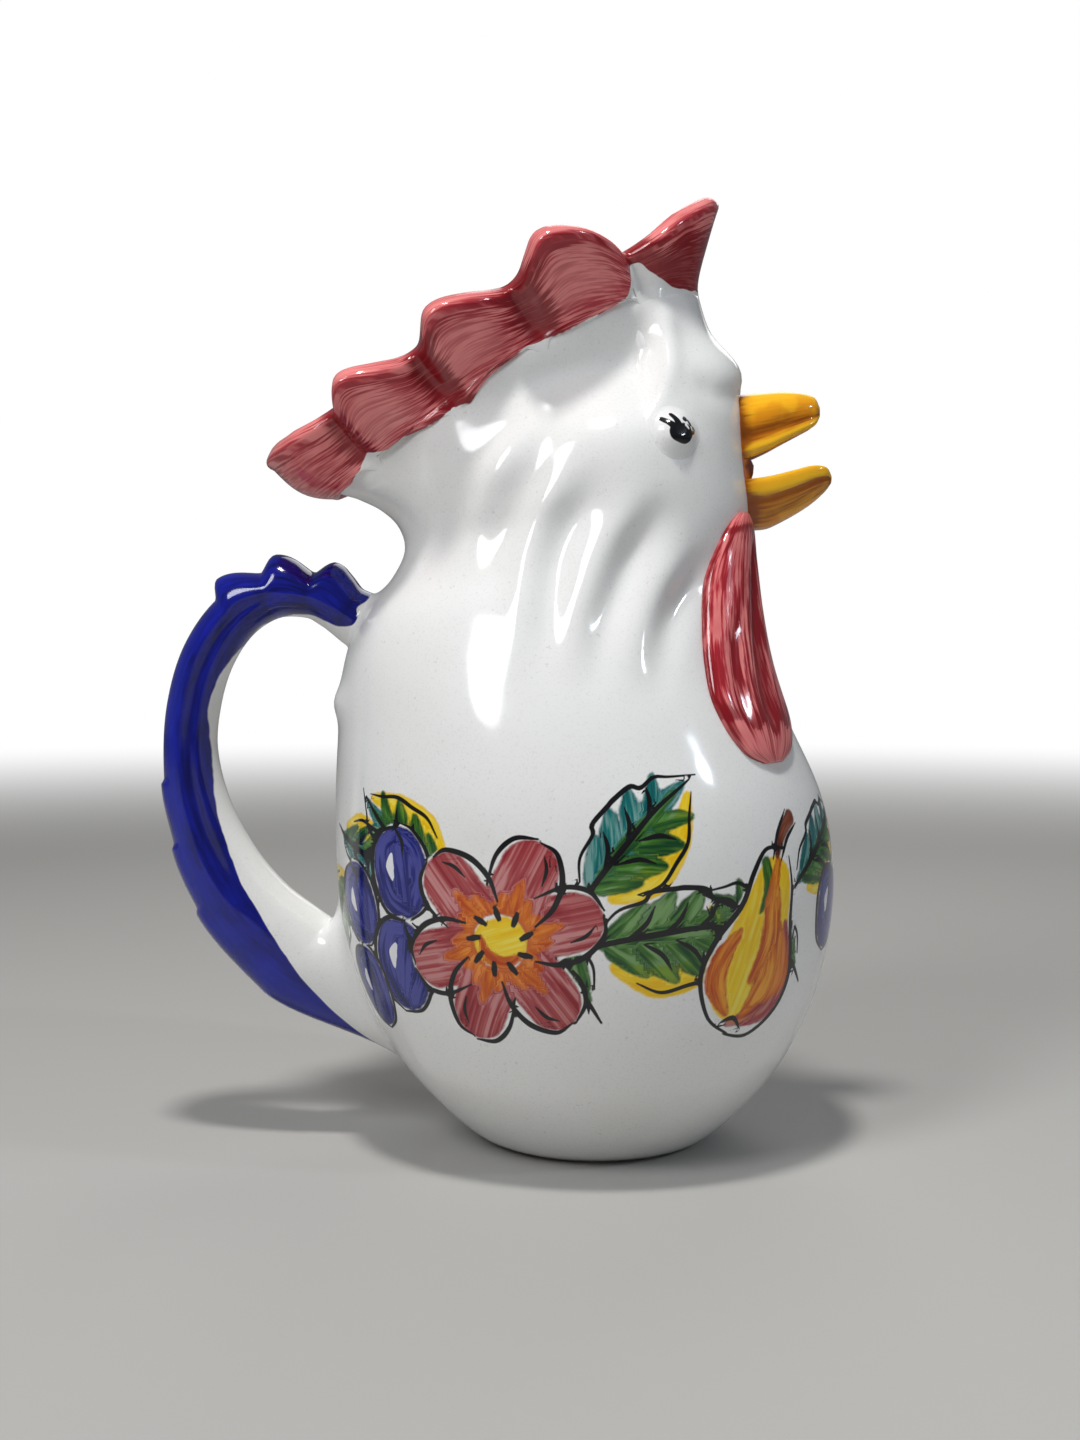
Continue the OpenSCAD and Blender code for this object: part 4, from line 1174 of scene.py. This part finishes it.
def handleTree():
    # sweeps an oval along the path, with feather bumps, quill steps and a groove on both sides
    tree = bpy.data.node_groups.new("tailHandle", "GeometryNodeTree")
    kinds = {"Path": "Geometry", **{name: kind for name, (kind, _) in sweepInputs.items()}, "Material": "Material"}
    for name, kind in kinds.items():
        tree.interface.new_socket(name, in_out="INPUT", socket_type="NodeSocket" + kind)
    tree.interface.new_socket("Geometry", in_out="OUTPUT", socket_type="NodeSocketGeometry")
    given = {socket.name: Value(tree, socket) for socket in addNode(tree, "NodeGroupInput").outputs}

    def vector(operation, *values, **named):
        node = addNode(tree, "ShaderNodeVectorMath", *values, named=named, operation=operation)
        return Value(tree, node.outputs["Value" if operation == "DOT_PRODUCT" else "Vector"])

    def geometry(kind, *values, named=None, **settings):
        return addNode(tree, "GeometryNode" + kind, *values, named=named, **settings).outputs[0]
    line = geometry("ResampleCurve", named={"Curve": given["Path"], "Count": given["Rings"]}, mode="COUNT")
    here, tangent, radius = geometry("InputPosition"), geometry("InputTangent"), geometry("InputRadius")
    factor = addNode(tree, "GeometryNodeSplineParameter").outputs["Factor"]
    stored = {}
    for name, kind, value in (("share", "FLOAT", factor), ("half", "FLOAT", radius),
                              ("middle", "FLOAT_VECTOR", here), ("ahead", "FLOAT_VECTOR", tangent)):
        line = geometry("StoreNamedAttribute", line, named={"Name": name, "Value": value}, data_type=kind,
                        domain="POINT")
        stored[name] = Value(tree, geometry("InputNamedAttribute", name, data_type=kind))
    oval = geometry("CurvePrimitiveCircle", given["Sides"], named={"Radius": 1.0})
    swept = geometry("CurveToMesh", line, oval, radius)

    share, half, middle = stored["share"], stored["half"], stored["middle"]
    offset = vector("SUBTRACT", here, middle)
    outward = vector("NORMALIZE", vector("CROSS_PRODUCT", (0, 1, 0), stored["ahead"]))
    rise = vector("DOT_PRODUCT", offset, outward)
    lean = rise / half
    sideways = Value(tree, addNode(tree, "ShaderNodeSeparateXYZ", offset).outputs[1]) / half * (given["Width"] * 0.5)
    dip = (lean + 0.12) / 0.24
    dip = (dip * dip * -1.0).math("EXPONENT") * share.ramp(0.12, 0.28) * share.fall(0.7, 0.9)
    sideways = sideways * (1.0 - dip * given["Side Groove"])

    past = share - given["Feather Start"]
    wave = (past * given["Feather Count"] / given["Feather Span"]).math("FRACT")
    wave = (wave.ramp(0.0, given["Feather Peak"]) * wave.fall(given["Feather Peak"], 1.0)).math("POWER", 0.75)
    wave = wave * past.math("GREATER_THAN", 0.0) * past.math("LESS_THAN", given["Feather Span"])
    bump = lean.math("MAXIMUM", 0.0) * (given["Feather Height"] * wave)
    quill = ((share - given["Quill Start"]) / given["Quill Step"]).math("FRACT")
    quill = quill.ramp(0.0, 0.09) * quill.fall(0.1, 1.0)
    quill = quill * share.math("GREATER_THAN", given["Quill Start"]) * share.math("LESS_THAN", given["Quill End"])
    quill = quill * lean.ramp(0.62, 0.82) * given["Quill Height"]
    up = vector("SCALE", outward, Scale=rise + bump + quill)
    aside = addNode(tree, "ShaderNodeCombineXYZ", 0.0, sideways, 0.0).outputs[0]
    place = vector("ADD", vector("ADD", middle, up), aside)
    moved = geometry("SetPosition", swept, named={"Position": place})
    dressed = geometry("SetMaterial", geometry("RealizeInstances", moved), named={"Material": given["Material"]})
    addNode(tree, "NodeGroupOutput", dressed)
    return tree


def sweepHandle(material):
    at = np.linspace(0, len(handle["pathShares"]) - 1, 111)
    reach, up, thick = splineRows(handle["pathShares"], at).T
    middle = packed(stations[:, 0].min() - reach * handle["reach"], 0, up * totalHeight)
    data = bpy.data.curves.new("handlePath", "CURVE")
    data.dimensions = "3D"
    spline = data.splines.new("POLY")
    spline.points.add(len(at) - 1)
    for point, place, share in zip(spline.points, middle * mm, thick):
        point.co = (*place, 1)
        point.radius = share * handle["thickness"] / 2 * mm
    holder = bpy.data.objects.new("handlePath", data)
    bpy.context.scene.collection.objects.link(holder)
    modifier = holder.modifiers.new("tailHandle", "NODES")
    modifier.node_group = handleTree()
    for item in modifier.node_group.interface.items_tree:
        if item.name == "Material":
            modifier[item.identifier] = material
        elif item.name in sweepInputs:
            kind, unitSize = sweepInputs[item.name]
            value = handle[item.name[0].lower() + item.name[1:].replace(" ", "")]
            modifier[item.identifier] = value if kind == "Int" else value * unitSize
    plain = bpy.data.meshes.new_from_object(holder.evaluated_get(bpy.context.evaluated_depsgraph_get()))
    points = np.zeros(len(plain.vertices) * 3)
    plain.vertices.foreach_get("co", points)
    bpy.data.objects.remove(holder)
    bpy.data.meshes.remove(plain)
    return points.reshape(handle["rings"], handle["sides"], 3) / mm


def filletRows(ring, before, root, low, high):
    # rows that spread a section of the handle smoothly onto the wall
    z, halfHeight, halfBreadth = root
    middle = ring.mean(0)
    offset = ring - middle
    forward = unit(middle - before)
    up = offset @ np.cross(forward, [0, 1, 0])
    up = up / np.abs(up).max()
    side = offset[:, 1] / np.abs(offset[:, 1]).max()
    if offset[np.abs(up).argmax(), 2] * up[np.abs(up).argmax()] < 0:
        up = -up
    norm = np.maximum(np.hypot(side, up), 1e-6)
    foot, normal = frontSeat(side / norm * halfBreadth, z + up / norm * halfHeight, 0.02, -1, low, high)
    outward = foot - frontSeat(0.0, z, 0.0, -1, low, high)[0]
    outward = unit(outward - normal * (outward * normal).sum(-1, keepdims=True))
    pull = np.linalg.norm(foot - ring, axis=-1, keepdims=True) * handle["filletPull"]
    rows = []
    for t in np.linspace(0, 1, handle["filletRows"] + 1)[1:]:
        blend = 3 * t**2 - 2 * t**3
        rows.append((1 - blend) * ring + (t**3 - 2 * t**2 + t) * forward * pull
                    + blend * foot + (t**3 - t**2) * outward * pull)
    return [*rows, foot + outward * 0.3 - normal * 0.8]


def makeHandle(material):
    rings = sweepHandle(material)
    upper = filletRows(rings[0], rings[1].mean(0), handle["upperRoot"], 8.0, 12.0)
    lower = filletRows(rings[-1], rings[-2].mean(0), handle["lowerRoot"], 1.6, 8.0)
    share = np.concatenate([-np.linspace(0, 1, len(upper) + 1)[:0:-1] * 0.05, np.linspace(0, 1, len(rings)),
                            1 + np.linspace(0, 1, len(lower) + 1)[1:] * 0.12])[:, None]
    rows = np.array([*upper[::-1], *rings, *lower])
    middle = rows.mean(1, keepdims=True)
    forward = unit(np.gradient(middle[:, 0], axis=0))[:, None, :]
    lean = ((rows - middle) * unit(np.cross([0, 1, 0], forward))).sum(-1)
    # 0 on the back of the handle and 1 on its inside
    q = (1 - lean / np.abs(lean).max(1, keepdims=True)) / 2
    distance, _, side = pathField(handle["blueEdge"], rows[..., 0], rows[..., 2], fine=4)
    blue = distance * side
    # painted shade in the side groove and at each feather's end, darker blue along the blue's edge, and a painted
    # highlight along the outer ridge
    groove = bell(q, 0.56, 0.10) * smoothStep(0.12, 0.3, share) * smoothStep(0.9, 0.7, share)
    step = (share - handle["featherStart"]) * handle["featherCount"] / handle["featherSpan"]
    wave = np.where((step > 0) & (step < handle["featherCount"]), bell(step % 1, 0, 0.2), 0)
    poolAndShade = np.clip(groove * 0.6 + bell(blue, -1.6, 1.6) * 0.35 + wave * 0.6, 0, 1)
    ridge = bell(q, 0.22, 0.16) * smoothStep(0.3, 0.45, share)
    return closeLoft("tail_handle", rows, packed(blue, poolAndShade, ridge), packed(q * 14, share * 210, 14.0), material)


def newGroup(name, inputs, outputs):
    # a shader group of numbers, with the inputs' values to start from
    group = bpy.data.node_groups.new(name, "ShaderNodeTree")
    for title, value in inputs.items():
        socket = group.interface.new_socket(title, in_out="INPUT", socket_type="NodeSocketFloat")
        socket.default_value = value
    for title in outputs:
        group.interface.new_socket(title, in_out="OUTPUT", socket_type="NodeSocketFloat")
    given = addNode(group, "NodeGroupInput").outputs
    return group, {title: Value(group, given[title]) for title in inputs}


def noiseValue(tree, place, scale, detail):
    node = addNode(tree, "ShaderNodeTexNoise", named={"Vector": place, "Scale": scale, "Detail": detail})
    return Value(tree, node.outputs["Fac"])


def vectorField(tree, name):
    # the three numbers of a mesh attribute
    field = addNode(tree, "ShaderNodeAttribute", attribute_name=name).outputs["Vector"]
    return [Value(tree, socket) for socket in addNode(tree, "ShaderNodeSeparateXYZ", field).outputs]


def glazeGroup():
    # fine specks and slow mottling of a glaze, and a faint waviness of its surface
    group, given = newGroup("glazeGrain", {"Speck Amount": 1.0, "Wave Height": 1.0}, ("Specks", "Mottle", "Height"))
    place = objectPlace(group)

    def noise(scale, detail, low, high):
        return noiseValue(group, place, scale, detail).ramp(low, high)
    specks = noise(900, 1.0, 0.66, 0.74) * noise(160, 2.0, 0.45, 0.62)
    specks = specks.math("MAXIMUM", noise(1700, 0.0, 0.55, 0.75) * 0.35) * given["Speck Amount"]
    height = noise(55, 2.0, 0.2, 0.8) * given["Wave Height"]
    addNode(group, "NodeGroupOutput", specks, noise(28, 3.0, 0.3, 0.7), height)
    return group


def streakGroup():
    # bristle marks along a brush stroke, from the stroke's own places in millimetres
    group, given = newGroup("bristleMarks", {"Fineness": 1.0, "Contrast": 1.0}, ("Streak", "Wash"))
    across, along, seed = vectorField(group, "streak")

    def noise(fine, long, detail, low, high):
        place = addNode(group, "ShaderNodeCombineXYZ", across * given["Fineness"] * fine, along * long, seed)
        return noiseValue(group, place.outputs[0], 1.0, detail).ramp(low, high)
    mixed = noise(1.9, 0.07, 3.0, 0.32, 0.72) * 0.62 + noise(0.45, 0.05, 2.0, 0.3, 0.7) * 0.38
    centred = (mixed - 0.5) * given["Contrast"]
    streak = addNode(group, "ShaderNodeMath", centred, 0.5, operation="ADD", use_clamp=True).outputs[0]
    addNode(group, "NodeGroupOutput", streak, noise(0.12, 0.09, 2.0, 0.3, 0.7))
    return group


glaze = {
    "white": (0.865, 0.865, 0.855),
    "whiteShade": (0.83, 0.825, 0.80),
    "speck": (0.52, 0.50, 0.46),
    "roughness": 0.115,
    "bareRoughness": 0.75,
    "ior": 1.52,
    "bump": 0.5,
    "bumpDepth": 0.00012,
    "bareClay": (0.72, 0.66, 0.56),
    # The light and dark tones serve the brush's streaks and also the painted highlights and painted shade
    "red": (0.50, 0.036, 0.052),
    "redDark": (0.235, 0.005, 0.011),
    "redLight": (0.86, 0.27, 0.26),
    "blue": (0.006, 0.012, 0.32),
    "blueDark": (0.002, 0.003, 0.085),
    "blueLight": (0.020, 0.035, 0.46),
    "yellow": (0.95, 0.37, 0.006),
    "yellowDark": (0.26, 0.045, 0.002),
    "yellowSmudge": (0.70, 0.19, 0.003),
    "yellowLight": (0.97, 0.58, 0.025),
    "ink": (0.006, 0.006, 0.008),
}
# Paint of the band: light and dark of each layer, and how much shows through where the brush is dry
bandColors = {
    "yellow": ((0.93, 0.74, 0.010), (0.86, 0.50, 0.006), 0.10),
    "teal": ((0.020, 0.27, 0.24), (0.003, 0.09, 0.10), 0.20),
    "green": ((0.09, 0.27, 0.020), (0.005, 0.055, 0.016), 0.12),
    "red": ((0.54, 0.12, 0.12), (0.27, 0.014, 0.025), 0.18),
    "orange": ((0.88, 0.28, 0.010), (0.48, 0.055, 0.005), 0.20),
    "brown": ((0.30, 0.07, 0.020), (0.10, 0.018, 0.008), 0.05),
    "blue": ((0.014, 0.022, 0.30), (0.002, 0.004, 0.075), 0.06),
    "white": ((0.86, 0.86, 0.88), (0.82, 0.82, 0.86), 0.0),
    "ink": ((0.010, 0.010, 0.012), (0.004, 0.004, 0.005), 0.0),
}


# Each glaze: amount of specks, height of the waves, and fineness and contrast of the bristle marks
glazeMarks = {
    "whiteGlazePainted": (1.0, 1.0, 0.4, 1.4),
    "redGlaze": (0.6, 1.5, 0.7, 2.3),
    "yellowGlaze": (0.5, 1.5, 0.8, 1.5),
    "blueGlaze": (0.8, 1.5, 0.7, 1.1),
    "whiteGlazeEye": (1.0, 1.0, 1.0, 1.0),
}
grainGroup, marksGroup = glazeGroup(), streakGroup()


def startGlaze(name):
    # marks: the outputs of both groups by name
    material, tree, shader, _ = newMaterial(name)
    specks, waves, fineness, contrast = glazeMarks[name]
    groups = [addNode(tree, "ShaderNodeGroup", node_tree=group, named=named)
              for group, named in ((grainGroup, {"Speck Amount": specks, "Wave Height": waves}),
                                   (marksGroup, {"Fineness": fineness, "Contrast": contrast}))]
    marks = {socket.name: Value(tree, socket) for node in groups for socket in node.outputs}
    return material, tree, shader, marks


def whiteBase(marks):
    shade = mixColor(marks["Mottle"] * 0.5, glaze["white"], glaze["whiteShade"])
    return mixColor(marks["Specks"] * 0.35, shade, glaze["speck"])


def finishGlaze(shader, color, height, roughness=glaze["roughness"]):
    bump = addNode(height.tree, "ShaderNodeBump",
                   named={"Strength": glaze["bump"], "Distance": glaze["bumpDepth"], "Height": height})
    for name, value in (("Base Color", color), ("IOR", glaze["ior"]), ("Roughness", roughness),
                        ("Normal", bump.outputs[0])):
        setInput(height.tree, shader.inputs[name], value)


def makeBodyMaterial():
    material, tree, shader, marks = startGlaze("whiteGlazePainted")
    color = whiteBase(marks)
    place = objectPlace(tree)
    ragged = (noiseValue(tree, place, 420.0, 2.0) - 0.5) * 0.9
    fields = {layer: field for name, layers in bandLayers.items()
              for layer, field in zip(layers, vectorField(tree, name))}
    signed, half, _ = vectorField(tree, "inkLine")
    line = (signed.math("ABSOLUTE") - half).fall(-0.13, 0.13) * fields["ink"].fall(0.5, 1.0)
    dry = marks["Streak"].fall(0.05, 0.55)
    for layer, (light, dark, clear) in bandColors.items():
        thin = layer in ("ink", "white")
        distance = fields[layer] if thin else fields[layer] + ragged
        soft = 0.14 if thin else 0.40
        mask = distance.fall(-soft, soft)
        if layer == "ink":
            mask = mask.math("MAXIMUM", line)
        tone = mixColor(marks["Streak"], light, dark)
        tone = mixColor(distance.ramp(-2.0, -0.2, 0.0, 0.0 if thin else 0.45), tone, dark)
        color = mixColor(mask * (1.0 - dry * clear), color, tone)
    height = Value(tree, addNode(tree, "ShaderNodeSeparateXYZ", place).outputs[2])
    bare = height.fall(0.0003, 0.0009)
    color = mixColor(bare, color, glaze["bareClay"])
    finishGlaze(shader, color, marks["Height"], bare.ramp(0, 1, glaze["roughness"], glaze["bareRoughness"]))
    return material


def makeRedMaterial():
    material, tree, shader, marks = startGlaze("redGlaze")
    poolAndShade, facet, edge = vectorField(tree, "tone")
    color = mixColor(marks["Streak"].ramp(-0.1, 0.75), glaze["redLight"], glaze["red"])
    color = mixColor(marks["Wash"] * 0.45, color, glaze["red"])
    # the facet's light red is a painted highlight
    color = mixColor(facet * 0.6, color, glaze["redLight"])
    # painted shade in the folds and grooves, with the dark glaze gathering in streaks
    pooledAndShaded = poolAndShade + (marks["Streak"] - 0.5) * 0.65
    color = mixColor(pooledAndShaded.ramp(0.10, 0.84) * 0.93, color, glaze["redDark"])
    bare = (edge + (marks["Wash"] - 0.5) * 0.8).ramp(-0.15, 0.15)
    finishGlaze(shader, mixColor(bare, color, whiteBase(marks)), marks["Height"] + marks["Streak"] * 0.3)
    return material


def makeYellowMaterial():
    material, tree, shader, marks = startGlaze("yellowGlaze")
    poolAndShade, light, _ = vectorField(tree, "tone")
    color = mixColor(marks["Streak"] * 0.6, glaze["yellow"], glaze["yellowLight"])
    color = mixColor(marks["Wash"].ramp(0.42, 0.78) * 0.6, color, glaze["yellowSmudge"])
    # painted highlight on the beaks' tops and rims
    color = mixColor(light * 0.75, color, glaze["yellowLight"])
    # painted shade on the undersides and in the groove, with the dark glaze in streaks
    pooledAndShaded = poolAndShade + (marks["Streak"] - 0.5) * 0.4
    color = mixColor(pooledAndShaded.ramp(0.12, 0.85) * 0.88, color, glaze["yellowDark"])
    finishGlaze(shader, color, marks["Height"])
    return material


def makeBlueMaterial():
    material, tree, shader, marks = startGlaze("blueGlaze")
    distance, poolAndShade, ridge = vectorField(tree, "tone")
    blue = mixColor(marks["Streak"], glaze["blue"], glaze["blueDark"])
    # ridge: painted highlight; pool: painted shade
    blue = mixColor(ridge * 0.45, blue, glaze["blueLight"])
    blue = mixColor(poolAndShade * 0.85, blue, glaze["blueDark"])
    mask = (distance + (marks["Wash"] - 0.5) * 0.35).fall(-0.2, 0.2)
    finishGlaze(shader, mixColor(mask, whiteBase(marks), blue), marks["Height"])
    return material


def makeEyeMaterial():
    material, tree, shader, marks = startGlaze("whiteGlazeEye")
    ink, glint, _ = vectorField(tree, "tone")
    color = mixColor(ink.fall(-0.1, 0.1), whiteBase(marks), glaze["ink"])
    finishGlaze(shader, mixColor(glint.fall(-0.1, 0.1), color, glaze["white"]), marks["Height"])
    return material


redMaterial, yellowMaterial, eyeMaterial = makeRedMaterial(), makeYellowMaterial(), makeEyeMaterial()
bodyMaterial, blueMaterial = makeBodyMaterial(), makeBlueMaterial()
print("materials made")

valley = comb["firstValley"]
pieces = [
    (makeBody(bodyMaterial), "body", "white_glaze"),
    (makeComb("comb_rim_glazed", valley, 360 - valley, redMaterial), "comb_rim", "red_glaze"),
    (makeComb("comb_front_point_glazed", -valley, valley, redMaterial), "comb_front_point", "red_glaze"),
    (makeBeak("upper_beak_glazed", "upper", yellowMaterial), "upper_beak", "yellow_glaze"),
    (makeBeak("lower_beak_glazed", "lower", yellowMaterial), "lower_beak", "yellow_glaze"),
    (makeWattle("wattle_left_glazed", 1, redMaterial), "wattle_left", "red_glaze"),
    (makeWattle("wattle_right_glazed", -1, redMaterial), "wattle_right", "red_glaze"),
    (makeEye("eye_left_glazed", 1, eyeMaterial), "eye_left", "white_glaze"),
    (makeEye("eye_right_glazed", -1, eyeMaterial), "eye_right", "white_glaze"),
    (makeHandle(blueMaterial), "handle", "blue_glaze"),
]
for piece, node, slot in pieces:
    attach(piece, "root")
    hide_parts(node)
print("pieces ride on the root body")
